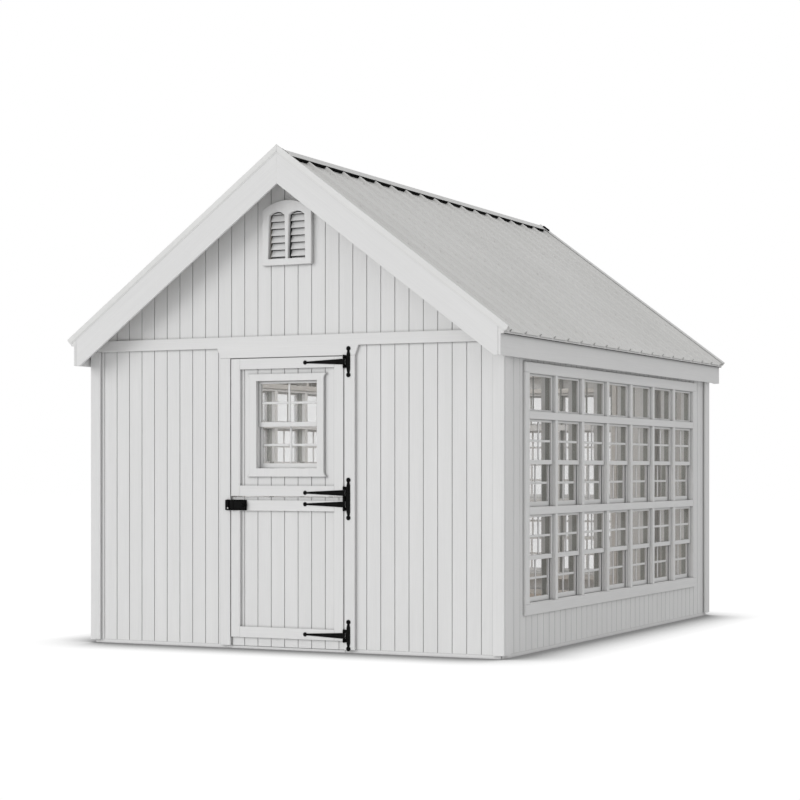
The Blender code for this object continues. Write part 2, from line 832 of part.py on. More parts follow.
def door_window(leaf, hinge):
    """Casing and liner let into the upper leaf, with one sash frame and its glass."""
    left, right = DOOR_LEFT + DOOR_PANE_SIDE, DOOR_RIGHT - DOOR_PANE_SIDE
    bottom, top = DOOR_PANE_BOTTOM, DOOR_PANE_TOP
    back = -FACE_Y + LINER_DEPTH
    face = -FACE_Y - FRAME_FACE
    glass = face + SASH_SET + SASH + SEAT
    hole = box(
        "door_window_hole",
        (left - LINER - SEAT, -FACE_Y - TRIM, bottom - LINER - SEAT),
        (right + LINER + SEAT, back, top + LINER + SEAT),
    )
    cut(leaf, hole)
    side = DOOR_FRAME_SIDE
    end = DOOR_FRAME_END
    ear = FRAME_EAR
    outline = [
        (left - side - ear, bottom - end),
        (right + side + ear, bottom - end),
        (right + side + ear, bottom - SEAT),
        (right + side, bottom - SEAT),
        (right + side, top + SEAT),
        (right + side + ear, top + SEAT),
        (right + side + ear, top + end),
        (left - side - ear, top + end),
        (left - side - ear, top + SEAT),
        (left - side, top + SEAT),
        (left - side, bottom - SEAT),
        (left - side - ear, bottom - SEAT),
    ]
    opening = rectangle(left, right, bottom, top)
    thick = FRAME_FACE - SEAT
    bare = rectangle(left - REVEAL, right + REVEAL, bottom - REVEAL, top + REVEAL)
    frame = plate(
        "door_window_frame",
        outline,
        [bare],
        thick,
        facing_front(-FACE_Y - SEAT - thick / 2),
    )
    liner_outline = rectangle(left - LINER, right + LINER, bottom - LINER, top + LINER)
    liner_depth = LINER_DEPTH + FRAME_FACE / 2
    liner = plate(
        "door_window_liner",
        liner_outline,
        [opening],
        liner_depth,
        facing_front(back - liner_depth / 2),
    )
    join(frame, liner)
    finish_piece(frame, painted_trim())
    rail = SASH_RAIL
    middle = (bottom + top) / 2
    lights = [
        rectangle(left + rail, right - rail, bottom + rail, middle - rail / 2),
        rectangle(left + rail, right - rail, middle + rail / 2, top - rail),
    ]
    sash_outline = rectangle(left + SEAT, right - SEAT, bottom + SEAT, top - SEAT)
    sash = plate(
        "door_window_sash",
        sash_outline,
        lights,
        SASH,
        facing_front(face + SASH_SET + SASH / 2),
    )
    finish_piece(sash, painted_trim())
    pane = box(
        "door_window_glass",
        (left + SEAT, glass, bottom + SEAT),
        (right - SEAT, glass + GLASS, top - SEAT),
    )
    finish_piece(pane, window_glass())
    for obj in (hole, liner, frame, sash, pane):
        hang(obj, hinge)


def strap(name, height, hinge):
    """Tapered strap with a ball tip, and its own knuckle on the axis."""
    wide = STRAP_WIDE / 2
    narrow = STRAP_NARROW / 2
    tip = HINGE_AXIS - STRAP_LENGTH + STRAP_BALL
    reach = math.degrees(math.asin(narrow / STRAP_BALL))
    ball = arc((tip, height), STRAP_BALL, reach, 360 - reach, BALL_STEPS)
    outline = [(HINGE_AXIS, height + wide)] + ball + [(HINGE_AXIS, height - wide)]
    face = -DOOR_FACE - SEAT - STRAP / 2
    piece = plate(name, outline, [], STRAP, facing_front(face))
    knuckle = cylinder(
        name + "_knuckle",
        (HINGE_AXIS, -DOOR_FACE - BARREL, height),
        BARREL - SEAT,
        STRAP_WIDE,
    )
    join(piece, knuckle)
    finish_piece(piece, black_iron())
    hang(piece, hinge)
    hang(knuckle, hinge)


def hinge_plate(name, middle, length, heights):
    """Upright plate with ball ends on the casing, with knuckles above and below each strap."""
    half = PLATE_WIDTH / 2
    x = HINGE_AXIS + PLATE_OFFSET
    reach = math.degrees(math.asin(half / PLATE_BALL)) if half < PLATE_BALL else 90
    end = length / 2 - PLATE_BALL
    top = arc((x, middle + end), PLATE_BALL, -90 + reach, 270 - reach, BALL_STEPS)
    bottom = arc((x, middle - end), PLATE_BALL, 90 + reach, 450 - reach, BALL_STEPS)
    face = -DOOR_FACE - SEAT - STRAP / 2
    piece = plate(name, top + bottom, [], STRAP, facing_front(face))
    finish_piece(piece, black_iron())
    for number, height in enumerate(heights):
        for side in (-1, 1):
            offset = side * (STRAP_WIDE + BARREL_LENGTH + 2 * SEAT) / 2
            z = height + offset
            knuckle = cylinder(
                "%s_knuckle_%d_%d" % (name, number, side + 1),
                (HINGE_AXIS, -DOOR_FACE - BARREL, z),
                BARREL - SEAT,
                BARREL_LENGTH,
            )
            join(piece, knuckle)
            web = box(
                "%s_web_%d_%d" % (name, number, side + 1),
                (HINGE_AXIS, -DOOR_FACE - SEAT - STRAP, z - BARREL_LENGTH / 2),
                (x, -DOOR_FACE - SEAT, z + BARREL_LENGTH / 2),
            )
            join(piece, web)


def latch(hinge):
    """Slide latch on the lower leaf with a knob, and its keeper on the casing."""
    left = LEAF_LEFT
    face = -DOOR_FACE - SEAT
    half = LATCH_HEIGHT / 2
    body = box(
        "door_latch",
        (left, face - LATCH_DEPTH, LATCH_MIDDLE - half),
        (left + LATCH_LENGTH, face, LATCH_MIDDLE + half),
    )
    knob = cylinder("door_latch_knob", (0, 0, 0), KNOB, KNOB_LENGTH)
    knob.rotation_euler = (math.pi / 2, 0, 0)
    knob.location = (left + LATCH_LENGTH - KNOB_INSET, face - LATCH_DEPTH, LATCH_MIDDLE)
    join(body, knob)
    finish_piece(body, black_iron())
    hang(body, hinge)
    hang(knob, hinge)
    keeper = box(
        "latch_keeper",
        (DOOR_LEFT - KEEPER, face - LATCH_DEPTH, LATCH_MIDDLE - half),
        (DOOR_LEFT, face, LATCH_MIDDLE + half),
    )
    finish_piece(keeper, black_iron())


def build_door():
    for side in ("left", "right"):
        door_casing(side)
    upper_hinge = hinge_empty("upper_door_axis")
    lower_hinge = hinge_empty("lower_door_axis")
    upper_bottom = DOOR_SPLIT + DOOR_GAP / 2
    upper_top = DOOR_HEAD - DOOR_GAP
    upper = door_leaf("upper_door_leaf", upper_bottom, upper_top, 0)
    door_window(upper, upper_hinge)
    lower_top = DOOR_SPLIT - DOOR_GAP / 2
    lower = door_leaf("lower_door_leaf", DOOR_BOTTOM, lower_top, LOWER_RAIL_RAISE)
    for leaf, hinge in ((upper, upper_hinge), (lower, lower_hinge)):
        for change in leaf.modifiers:
            if change.object.parent is None:
                hang(change.object, hinge)
        hang(leaf, hinge)
    strap("strap_top", TOP_STRAP, upper_hinge)
    strap("strap_upper_middle", UPPER_MIDDLE_STRAP, upper_hinge)
    strap("strap_lower_middle", LOWER_MIDDLE_STRAP, lower_hinge)
    strap("strap_bottom", BOTTOM_STRAP, lower_hinge)
    middle = (UPPER_MIDDLE_STRAP + LOWER_MIDDLE_STRAP) / 2
    hinge_plate("hinge_plate_top", TOP_STRAP, SINGLE_PLATE, [TOP_STRAP])
    hinge_plate(
        "hinge_plate_middle", middle, DOUBLE_PLATE, [UPPER_MIDDLE_STRAP, LOWER_MIDDLE_STRAP]
    )
    hinge_plate("hinge_plate_bottom", BOTTOM_STRAP, SINGLE_PLATE, [BOTTOM_STRAP])
    latch(lower_hinge)


def build_greenhouse():
    clear_scene()
    make_collections()
    build_floor()
    build_end("front", 0, True)
    build_end("back", math.pi, False)
    build_side("right", 0)
    build_side("left", math.pi)
    build_ridge_cap()
    build_door()


build_greenhouse()
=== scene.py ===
import math
import random

import bpy
from mathutils import Matrix, Vector


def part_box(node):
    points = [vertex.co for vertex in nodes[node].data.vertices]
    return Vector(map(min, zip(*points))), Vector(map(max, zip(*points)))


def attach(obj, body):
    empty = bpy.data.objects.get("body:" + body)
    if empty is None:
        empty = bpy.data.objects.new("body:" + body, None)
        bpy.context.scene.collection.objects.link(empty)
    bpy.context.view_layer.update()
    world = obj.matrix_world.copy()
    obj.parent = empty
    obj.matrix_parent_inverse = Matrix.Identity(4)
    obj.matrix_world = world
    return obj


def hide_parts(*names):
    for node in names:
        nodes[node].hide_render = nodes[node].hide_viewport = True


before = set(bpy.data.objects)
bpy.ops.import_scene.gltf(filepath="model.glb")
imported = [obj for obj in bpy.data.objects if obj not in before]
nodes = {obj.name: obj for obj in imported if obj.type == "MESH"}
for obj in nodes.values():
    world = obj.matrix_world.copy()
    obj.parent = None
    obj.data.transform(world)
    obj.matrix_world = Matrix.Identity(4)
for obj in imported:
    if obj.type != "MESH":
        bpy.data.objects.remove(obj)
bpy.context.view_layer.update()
print("frame loaded")

# Sizes that many pieces share, taken from the solids where they have them
wallLow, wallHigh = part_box("right_wall")
eaveLow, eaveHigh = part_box("right_eave_board")
house = {
    "faceX": wallHigh.x,
    "faceY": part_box("back_wall")[1].y,
    "wallTop": wallHigh.z,
    "seam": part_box("back_wall")[1].z,
    "sheetBottom": wallLow.z,
    "floorTop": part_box("floor_deck")[1].z,
    "depth": wallHigh.x - wallLow.x,
    "sheet": 0.0127,
    "trim": 0.019,
    "seat": 0.0003,  # what trim stands clear of the boards
    "gap": 0.0004,  # joint between two boards
    "ridge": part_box("right_roof_deck")[1].z,
    "eaveFace": eaveHigh.x,
    "eaveBack": eaveLow.x,
    "eaveBottom": eaveLow.z,
    "eaveTop": eaveHigh.z,
    "rise": 0.75,
    "deck": 0.016,
}
slope = math.atan(house["rise"])
upright = 1 / math.cos(slope)
deckRidge = house["ridge"] - house["deck"] * upright
seat, gap = house["seat"], house["gap"]


def placeOf(along, origin):
    # Axes of a wall seen from outside: along it, up, and out of it
    up = Vector((0, 0, 1))
    along = Vector(along)
    made = Matrix((along, up, along.cross(up))).transposed().to_4x4()
    made.translation = Vector(origin)
    return made


places = {
    "front": placeOf((1, 0, 0), (0, -house["faceY"], 0)),
    "back": placeOf((-1, 0, 0), (0, house["faceY"], 0)),
    "right": placeOf((0, 1, 0), (house["faceX"], 0, 0)),
    "left": placeOf((0, -1, 0), (-house["faceX"], 0, 0)),
}


def inset(outline, depth):
    made = []
    count = len(outline)
    for i, (x, y) in enumerate(outline):
        before = outline[i - 1]
        after = outline[(i + 1) % count]
        one = Vector((x - before[0], y - before[1])).normalized()
        two = Vector((after[0] - x, after[1] - y)).normalized()
        normal = Vector((-one.y, one.x))
        middle = normal + Vector((-two.y, two.x))
        share = depth / max(middle.dot(normal), 0.2)
        made.append((x + middle.x * share, y + middle.y * share))
    return made


def rect(left, right, bottom, top):
    return [(left, bottom), (right, bottom), (right, top), (left, top)]


def cutRect(left, right, bottom, top, cut):
    # A rectangle with its corners cut off
    made = [(left + cut, bottom), (right - cut, bottom), (right, bottom + cut), (right, top - cut)]
    return made + [(right - cut, top), (left + cut, top), (left, top - cut), (left, bottom + cut)]


def arc(centre, radius, start, end, steps):
    made = []
    for i in range(steps + 1):
        angle = math.radians(start + (end - start) * i / steps)
        made.append((centre[0] + radius * math.cos(angle), centre[1] + radius * math.sin(angle)))
    return made


def bow(middle, base, half, rise, steps):
    # A shallow arch over a level base, with half its width on each side of the middle
    radius = (half**2 + rise**2) / (2 * rise)
    sweep = math.degrees(math.asin(half / radius))
    return arc((middle, base + rise - radius), radius, 90 - sweep, 90 + sweep, steps)


def skin(start, count, rings, turned=False):
    # Faces of a closed tube of rings, its ends filled
    last = start + (rings - 1) * count
    faces = [[start + i for i in reversed(range(count))], [last + i for i in range(count)]]
    for ring in range(rings - 1):
        a = start + ring * count
        for i in range(count):
            j = (i + 1) % count
            faces.append([a + i, a + j, a + count + j, a + count + i])
    return [face[::-1] for face in faces] if turned else faces


def tubeMesh(name, verts, count, turned=False):
    mesh = bpy.data.meshes.new(name)
    mesh.from_pydata(verts, [], skin(0, count, len(verts) // count, turned))
    return mesh


def linked(name, data, *materials):
    for material in materials:
        data.materials.append(material)
    made = bpy.data.objects.new(name, data)
    bpy.context.scene.collection.objects.link(made)
    return made


def settle(obj, replaces=(), body="building"):
    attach(obj, body)
    if replaces:
        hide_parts(*replaces)


class Bag:
    # Gathers the boards of one piece, each drawn in the plane of its place
    def __init__(self, place, seed):
        self.place = place
        self.verts = []
        self.faces = []
        self.grain = []
        self.random = random.Random(seed)

    def loft(self, rings, turned=False):
        # Rings of points, each with its grain, joined into one closed body
        start = len(self.verts)
        for ring in rings:
            for point, grain in ring:
                self.verts.append(self.place @ Vector(point))
                self.grain += grain
        self.faces += skin(start, len(rings[0]), len(rings), turned)

    def prism(self, outline, low, high, chamfer, along=None):
        if along is None:
            xs = [p[0] for p in outline]
            ys = [p[1] for p in outline]
            along = (1, 0) if max(xs) - min(xs) > max(ys) - min(ys) else (0, 1)
        chamfer = min(chamfer, (high - low) / 3)
        shift = [self.random.uniform(0, 40) for _ in range(3)]
        inner = inset(outline, chamfer)
        levels = [(inner, low), (outline, low + chamfer), (outline, high - chamfer), (inner, high)]
        rings = []
        for loop, level in levels:
            rings.append([])
            for x, y in loop:
                lengthwise = x * along[0] + y * along[1] + shift[0]
                across = x * along[1] - y * along[0] + shift[1]
                rings[-1].append(((x, y, level), [lengthwise, across, level + shift[2]]))
        self.loft(rings)

    def board(self, left, right, bottom, top, low, high, cut=0.0012, along=None):
        left, right = min(left, right), max(left, right)
        cut = min(cut, (right - left) / 4, (top - bottom) / 4)
        self.prism(cutRect(left, right, bottom, top, cut), low, high, cut, along)

    def emit(self, name, material, slot, replaces=(), body="building"):
        mesh = bpy.data.meshes.new(name)
        mesh.from_pydata(self.verts, [], self.faces)
        layer = mesh.attributes.new("grain", "FLOAT_VECTOR", "POINT")
        layer.data.foreach_set("vector", self.grain)
        settle(linked(name, mesh, material), replaces, body)


def evaluated(obj):
    # The mesh that an object's curve or modifier gives
    bpy.context.view_layer.update()
    depsgraph = bpy.context.evaluated_depsgraph_get()
    return bpy.data.meshes.new_from_object(obj.evaluated_get(depsgraph))


def flatShape(name, outline, holes, low, high, place, chamfer=0.0):
    # A filled outline with holes, drawn out from low to high
    curve = bpy.data.curves.new(name, "CURVE")
    curve.dimensions = "2D"
    curve.fill_mode = "BOTH"
    curve.extrude = (high - low) / 2 - chamfer
    curve.bevel_depth = chamfer
    curve.bevel_resolution = 1
    curve.offset = -chamfer
    for loop in [outline] + holes:
        spline = curve.splines.new("POLY")
        spline.points.add(len(loop) - 1)
        for point, (x, y) in zip(spline.points, loop):
            point.co = (x, y, 0, 1)
        spline.use_cyclic_u = True
    drawn = linked(name + "_drawn", curve)
    mesh = evaluated(drawn)
    bpy.data.objects.remove(drawn, do_unlink=True)
    mesh.transform(place @ Matrix.Translation((0, 0, (low + high) / 2)))
    mesh.name = name
    return linked(name, mesh)


def trim(obj, cutter):
    # Leaves what an object shares with its cutter
    change = obj.modifiers.new("trim", "BOOLEAN")
    change.operation = "INTERSECT"
    change.object = cutter
    change.solver = "EXACT"
    mesh = evaluated(obj)
    obj.modifiers.clear()
    obj.data = mesh
    bpy.data.objects.remove(cutter, do_unlink=True)


# Materials
def nodeMaterial(name):
    made = bpy.data.materials.new(name)
    made.use_nodes = True
    tree = made.node_tree
    return made, tree, tree.nodes["Principled BSDF"]


def addNode(tree, kind, levels=None, **values):
    node = tree.nodes.new(kind)
    for key, value in values.items():
        setattr(node, key, value)
    for key, value in (levels or {}).items():
        node.inputs[key].default_value = value
    return node


def coordinates(tree, source):
    if source == "grain":
        return addNode(tree, "ShaderNodeAttribute", attribute_name="grain").outputs["Vector"]
    return addNode(tree, "ShaderNodeTexCoord").outputs["Object"]


def noise(tree, vector, scale, detail, rough):
    mapping = addNode(tree, "ShaderNodeMapping", {"Scale": scale})
    tree.links.new(vector, mapping.inputs["Vector"])
    made = addNode(tree, "ShaderNodeTexNoise", {"Scale": 1.0, "Detail": detail, "Roughness": rough})
    tree.links.new(mapping.outputs["Vector"], made.inputs["Vector"])
    return made.outputs["Fac"]


def spread(tree, value, low, high, fromLow=0.3, fromHigh=0.7):
    levels = {"From Min": fromLow, "From Max": fromHigh, "To Min": low, "To Max": high}
    made = addNode(tree, "ShaderNodeMapRange", levels)
    tree.links.new(value, made.inputs["Value"])
    return made.outputs["Result"]


def mixed(tree, factor, one, two):
    made = addNode(tree, "ShaderNodeMix", data_type="RGBA")
    tree.links.new(factor, made.inputs["Factor"])
    for socket in made.inputs:
        if socket.type == "RGBA":
            socket.default_value = (*(one if socket.name == "A" else two), 1)
    return [o for o in made.outputs if o.type == "RGBA"][0]


def bumped(tree, shader, height, strength, distance):
    made = addNode(tree, "ShaderNodeBump", {"Strength": strength, "Distance": distance})
    tree.links.new(height, made.inputs["Height"])
    tree.links.new(made.outputs["Normal"], shader.inputs["Normal"])


def cornerShaded(tree, colour, look):
    # Painted shade: the colour darkens where two painted faces meet, as an ambient occlusion node finds them
    near = addNode(tree, "ShaderNodeAmbientOcclusion", {"Distance": look["reach"]}, samples=8)
    share = spread(tree, near.outputs["AO"], look["deep"], 1.0, 0.35, 1.0)
    scaled = addNode(tree, "ShaderNodeVectorMath", operation="SCALE")
    tree.links.new(colour, scaled.inputs[0])
    tree.links.new(share, scaled.inputs["Scale"])
    return scaled.outputs["Vector"]


def coated(tree, shader, factor, look):
    # The colour between dark and light, and the shine
    colour = mixed(tree, factor, look["dark"], look["light"])
    if look["cornerShade"]:
        colour = cornerShaded(tree, colour, look["cornerShade"])
    tree.links.new(colour, shader.inputs["Base Color"])
    shader.inputs["Specular IOR Level"].default_value = look["shine"]


def woodMaterial(name, look):
    made, tree, shader = nodeMaterial(name)
    vector = coordinates(tree, look["source"])
    fine = noise(tree, vector, look["fine"], 4.0, 0.6)
    broad = noise(tree, vector, look["broad"], 2.0, 0.5)
    added = addNode(tree, "ShaderNodeMath", operation="ADD")
    tree.links.new(fine, added.inputs[0])
    tree.links.new(broad, added.inputs[1])
    coated(tree, shader, spread(tree, added.outputs[0], 0.0, 1.0, 0.7, 1.3), look)
    tree.links.new(spread(tree, broad, *look["rough"]), shader.inputs["Roughness"])
    bumped(tree, shader, fine, look["bump"], 0.0008)
    return made


def metalMaterial(name, look):
    made, tree, shader = nodeMaterial(name)
    vector = coordinates(tree, "Object")
    broad = noise(tree, vector, look["broad"], 2.0, 0.5)
    fine = noise(tree, vector, look["fine"], 3.0, 0.6)
    coated(tree, shader, spread(tree, broad, 0.0, 1.0), look)
    tree.links.new(spread(tree, fine, *look["rough"]), shader.inputs["Roughness"])
    bumped(tree, shader, fine, look["bump"], look["depth"])
    shader.inputs["Metallic"].default_value = look["metallic"]
    return made


# Painted shade in the corners of painted wood and metal
cornerShade = {"reach": 0.018, "deep": 0.64}
paint = {
    "source": "grain",
    "cornerShade": cornerShade,
    "fine": (3.0, 160.0, 160.0),
    "broad": (0.9, 9.0, 9.0),
    "dark": (0.77, 0.77, 0.768),
    "light": (0.82, 0.82, 0.818),
    "rough": (0.48, 0.62),
    "bump": 0.22,
    "shine": 0.35,
}
boardPaint = dict(paint, source="Object", fine=(130.0, 130.0, 3.2), broad=(9.0, 9.0, 0.9), bump=0.35)
timberLook = dict(paint, cornerShade=None, dark=(0.62, 0.60, 0.57), light=(0.72, 0.70, 0.67))
timberLook.update(rough=(0.65, 0.85), bump=0.5, shine=0.2)
# Painted shade: a darker colour for the backs of the side walls' boards
shadedBackLook = dict(boardPaint, cornerShade=None, dark=(0.25, 0.24, 0.22), light=(0.34, 0.325, 0.30))
shadedBackLook.update(rough=(0.7, 0.9), shine=0.1)
floorLook = dict(paint, cornerShade=None, source="Object", fine=(60.0, 4.0, 60.0), broad=(5.0, 0.7, 5.0))
floorLook.update(dark=(0.46, 0.37, 0.29), light=(0.60, 0.50, 0.41), rough=(0.6, 0.8), bump=0.3)
deckLook = dict(timberLook, source="Object", fine=(40.0, 3.0, 40.0), broad=(6.0, 0.8, 6.0))
trimPaint = woodMaterial("trim_paint", paint)
boardsPaint = woodMaterial("board_paint", boardPaint)
timber = woodMaterial("framing_timber", timberLook)
deckTimber = woodMaterial("roof_timber", deckLook)
shadedBoardBack = woodMaterial("board_back_shade", shadedBackLook)
floorBoard = woodMaterial("floor_board", floorLook)

# Roof paint first; the other looks change some of its values
sheetLook = {
    "cornerShade": None,
    "broad": (1.2, 0.9, 1.2),
    "fine": (26.0, 26.0, 26.0),
    "dark": (0.770, 0.767, 0.752),
    "light": (0.820, 0.817, 0.803),
    "rough": (0.36, 0.50),
    "bump": 0.12,
    "depth": 0.0006,
    "metallic": 0.0,
    "shine": 0.45,
}
whiteLook = dict(sheetLook, cornerShade=cornerShade, broad=(1.6, 1.6, 1.6), fine=(22.0, 22.0, 22.0), shine=0.4)
whiteLook.update(dark=(0.765, 0.765, 0.757), light=(0.805, 0.805, 0.797))
whiteLook.update(rough=(0.38, 0.52), bump=0.10, depth=0.0005)
ironLook = dict(sheetLook, broad=(20.0, 20.0, 20.0), fine=(900.0, 900.0, 900.0), shine=0.05)
ironLook.update(dark=(0.003, 0.003, 0.003), light=(0.006, 0.006, 0.006))
ironLook.update(rough=(0.45, 0.62), bump=0.3, depth=0.0003)
zincLook = dict(sheetLook, broad=(60.0, 60.0, 60.0), fine=(600.0, 600.0, 600.0), shine=0.5)
zincLook.update(dark=(0.45, 0.45, 0.45), light=(0.62, 0.62, 0.61))
zincLook.update(rough=(0.3, 0.5), bump=0.2, depth=0.0002, metallic=0.8)
# Painted shade: near-black for the closures where the eave and the ridge cap leave dark gaps
shadeFoamLook = dict(sheetLook, broad=(30.0, 30.0, 30.0), fine=(400.0, 400.0, 400.0), shine=0.05)
shadeFoamLook.update(dark=(0.004, 0.004, 0.004), light=(0.010, 0.010, 0.010), rough=(0.85, 0.95), bump=0.4)
# Painted shade: a dark grey for the jamb tracks and the transom bars
shadedGreyLook = dict(sheetLook, broad=(2.0, 2.0, 3.0), fine=(60.0, 60.0, 8.0), shine=0.3)
shadedGreyLook.update(dark=(0.315, 0.320, 0.295), light=(0.375, 0.380, 0.350))
shadedGreyLook.update(rough=(0.5, 0.7), bump=0.1, depth=0.0004)
# Painted shade: a near-black screen that darkens the vent's slots
ventShadeLook = dict(sheetLook, broad=(30.0, 30.0, 30.0), fine=(700.0, 700.0, 700.0), shine=0.1)
ventShadeLook.update(dark=(0.035, 0.035, 0.035), light=(0.060, 0.060, 0.060))
ventShadeLook.update(rough=(0.7, 0.9), bump=0.5, depth=0.0004)
roofPaint = metalMaterial("roof_paint", sheetLook)
whiteMetal = metalMaterial("trim_metal", whiteLook)
ironPaint = metalMaterial("iron_coat", ironLook)
screwMetal = metalMaterial("screw_zinc", zincLook)
shadeFoam = metalMaterial("closure_shade", shadeFoamLook)
shadedGrey = metalMaterial("grey_painted_shade", shadedGreyLook)
ventShade = metalMaterial("vent_screen_shade", ventShadeLook)


glassLook = {
    "smear": (3.0, 3.0, 5.0),
    "cover": (0.100, 0.140),
    "rough": (0.02, 0.07),
    "tint": (0.42, 0.43, 0.43, 1),
    "shine": 0.5,
}


def glassMaterial():
    made, tree, shader = nodeMaterial("window_glass_look")
    vector = coordinates(tree, "Object")
    smear = noise(tree, vector, glassLook["smear"], 3.0, 0.6)
    tree.links.new(spread(tree, smear, *glassLook["cover"]), shader.inputs["Alpha"])
    tree.links.new(spread(tree, smear, *glassLook["rough"]), shader.inputs["Roughness"])
    shader.inputs["Base Color"].default_value = glassLook["tint"]
    shader.inputs["Specular IOR Level"].default_value = glassLook["shine"]
    return made


clearGlass = glassMaterial()
print("materials made")


def trimShape(name, side, outline, holes, proud, chamfer, replaces=(), body="building"):
    # A painted flat shape on a wall, its grain upright
    made = flatShape(name, outline, holes, seat, proud, places[side], chamfer)
    made.data.materials.append(trimPaint)
    layer = made.data.attributes.new("grain", "FLOAT_VECTOR", "POINT")
    values = []
    for vertex in made.data.vertices:
        values += [vertex.co.z, vertex.co.x, vertex.co.y]
    layer.data.foreach_set("vector", values)
    settle(made, replaces, body)


# Grooved boards: a section with its grooves, drawn out upright and trimmed to the wall's outline
groove = {
    "pitch": 0.1016,
    "wide": 0.0062,
    "floor": 0.0026,
    "deep": 0.0052,
    "first": {"front": -1.45288, "back": -1.45288, "right": -2.0635, "left": -2.0635},
}


def groovedSheet(name, side, outline, holes, replaced, body="building"):
    place = places[side]
    margin = 0.01
    us = [p[0] for p in outline]
    vs = [p[1] for p in outline]
    left, right = min(us) - margin, max(us) + margin
    at = groove["first"][side]
    if side in ("left", "back"):
        at = -at - groove["pitch"] * 60  # the mirrored pattern, begun left of the wall
    while at < left + margin:
        at += groove["pitch"]
    mouth, floor, deep = groove["wide"] / 2, groove["floor"] / 2, -groove["deep"]
    section = [(left, 0.0)]
    while at < right - margin:
        section += [(at - mouth, 0.0), (at - floor, deep), (at + floor, deep), (at + mouth, 0.0)]
        at += groove["pitch"]
    section += [(right, 0.0), (right, -house["sheet"]), (left, -house["sheet"])]
    heights = (min(vs) - margin, max(vs) + margin)
    verts = [place @ Vector((u, height, w)) for height in heights for u, w in section]
    sheet = linked(name, tubeMesh(name, verts, len(section), True))
    trim(sheet, flatShape(name + "_cutter", outline, holes, -0.05, 0.05, place))
    sheet.data.materials.clear()
    sheet.data.materials.append(boardsPaint)
    sheet.data.materials.append(shadedBoardBack)
    local = place.inverted()
    for face in sheet.data.polygons:
        # The backs of the side walls' boards, seen through the windows, take a darker colour: painted shade
        rear = (local @ face.center).z < 0.0002 - house["sheet"] and side in ("left", "right")
        face.material_index = 1 if rear else 0
    settle(sheet, replaced, body)


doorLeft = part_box("front_wall_left")[1].x
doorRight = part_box("front_wall_right")[0].x
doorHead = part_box("front_gable")[0].z
seam = house["seam"]
boardFoot = house["sheetBottom"]
wallHalf = house["faceX"]


def gableOutline(withDoor):
    base = seam + seat
    top = deckRidge - gap
    shoulder = top - wallHalf * house["rise"]
    points = [(-wallHalf, base)]
    if withDoor:
        points += [(doorLeft, base), (doorLeft, doorHead), (doorRight, doorHead), (doorRight, base)]
    return points + [(wallHalf, base), (wallHalf, shoulder), (0, top), (-wallHalf, shoulder)]


vent = {
    "shift": 0.0135,
    "low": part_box("front_vent")[0].z,
    "half": 0.184,
    "shoulder": 0.363,
    "rise": 0.064,
    "depth": 0.030,
    "stile": 0.044,
    "mullion": 0.019,
    "rail": 0.041,
    "opening": 0.280,
    "arch": 0.032,
    "blades": 6,
    "bladeGrain": 3.7,
    "hole": (-0.144, 0.144, 0.037, 0.358),
    "net": (-0.1435, 0.1435, 0.0375, 0.3575),
    "netDeep": (-0.0225, -0.0205),
}
ventHole = rect(*vent["hole"][:2], *[vent["low"] + height for height in vent["hole"][2:]])
for side, left, right in (("left", -wallHalf, doorLeft), ("right", doorRight, wallHalf)):
    outline = rect(left, right, boardFoot, seam)
    groovedSheet("front_boards_" + side, "front", outline, [], ["front_wall_" + side])
for side in ("front", "back"):
    groovedSheet(side + "_boards_gable", side, gableOutline(side == "front"), [ventHole], [side + "_gable"])

bank = {
    "pane": 0.457,
    "post": 0.0445,
    "rows": ((0.3275, 0.9025), (0.952, 1.527)),
    "transom": (1.5765, 1.8235),
    "faceSide": 0.076,
    "faceTop": 0.0705,
    "faceBottom": 0.0745,
    "reveal": 0.004,
    "liner": 0.019,
    "postFace": 0.017,
    "sashFace": -0.0055,
    "sash": 0.0150,
    "edge": 0.0015,
    "step": 0.0222,
    "stile": 0.022,
    "topRail": 0.016,
    "bottomRail": 0.032,
    "meeting": 0.030,
    "transomRails": (0.012, 0.014),
    "muntin": 0.016,
    "muntinBack": 0.0075,
    "bar": 0.008,
    "rebate": 0.004,
    "glass": (0.0130, 0.0105),
    "lift": 0.006,
    "stop": 0.009,
    "stopDrop": 0.012,
    "track": 0.0018,
    "trackDeep": 0.038,
    "trackLift": 0.022,
    "transomBar": (0.006, -0.056, -0.050),
    "deep": 0.088,
    "bays": {"right": 7, "left": 7, "back": 3},
}


def bankHalf(side):
    bays = bank["bays"][side]
    return (bays * bank["pane"] + (bays - 1) * bank["post"]) / 2


def bankHole(side):
    edge = bank["liner"] + seat
    half = bankHalf(side) + edge
    return rect(-half, half, bank["rows"][0][0] - edge, bank["transom"][1] + edge)


wallReach = house["faceY"] - house["depth"]
sheets = (("right", wallReach, house["wallTop"]), ("left", wallReach, house["wallTop"]))
for side, reach, top in (*sheets, ("back", wallHalf, seam)):
    outline = rect(-reach, reach, boardFoot, top)
    groovedSheet(side + "_boards", side, outline, [bankHole(side)], [side + "_wall"])
print("boards made")

# Framing behind the boards, seen through the windows and the open door
studs = {
    "wide": 0.038,
    "spacing": 0.406,
    "gableSpacing": 0.36,
    "gap": 0.0005,
    "back": 0.0005 - house["depth"],
    "front": -house["sheet"] - 0.0003,
    "foot": house["floorTop"] + 0.0003,
    "rafter": 0.09,
}
plateReach = wallHalf - house["sheet"] - 0.001


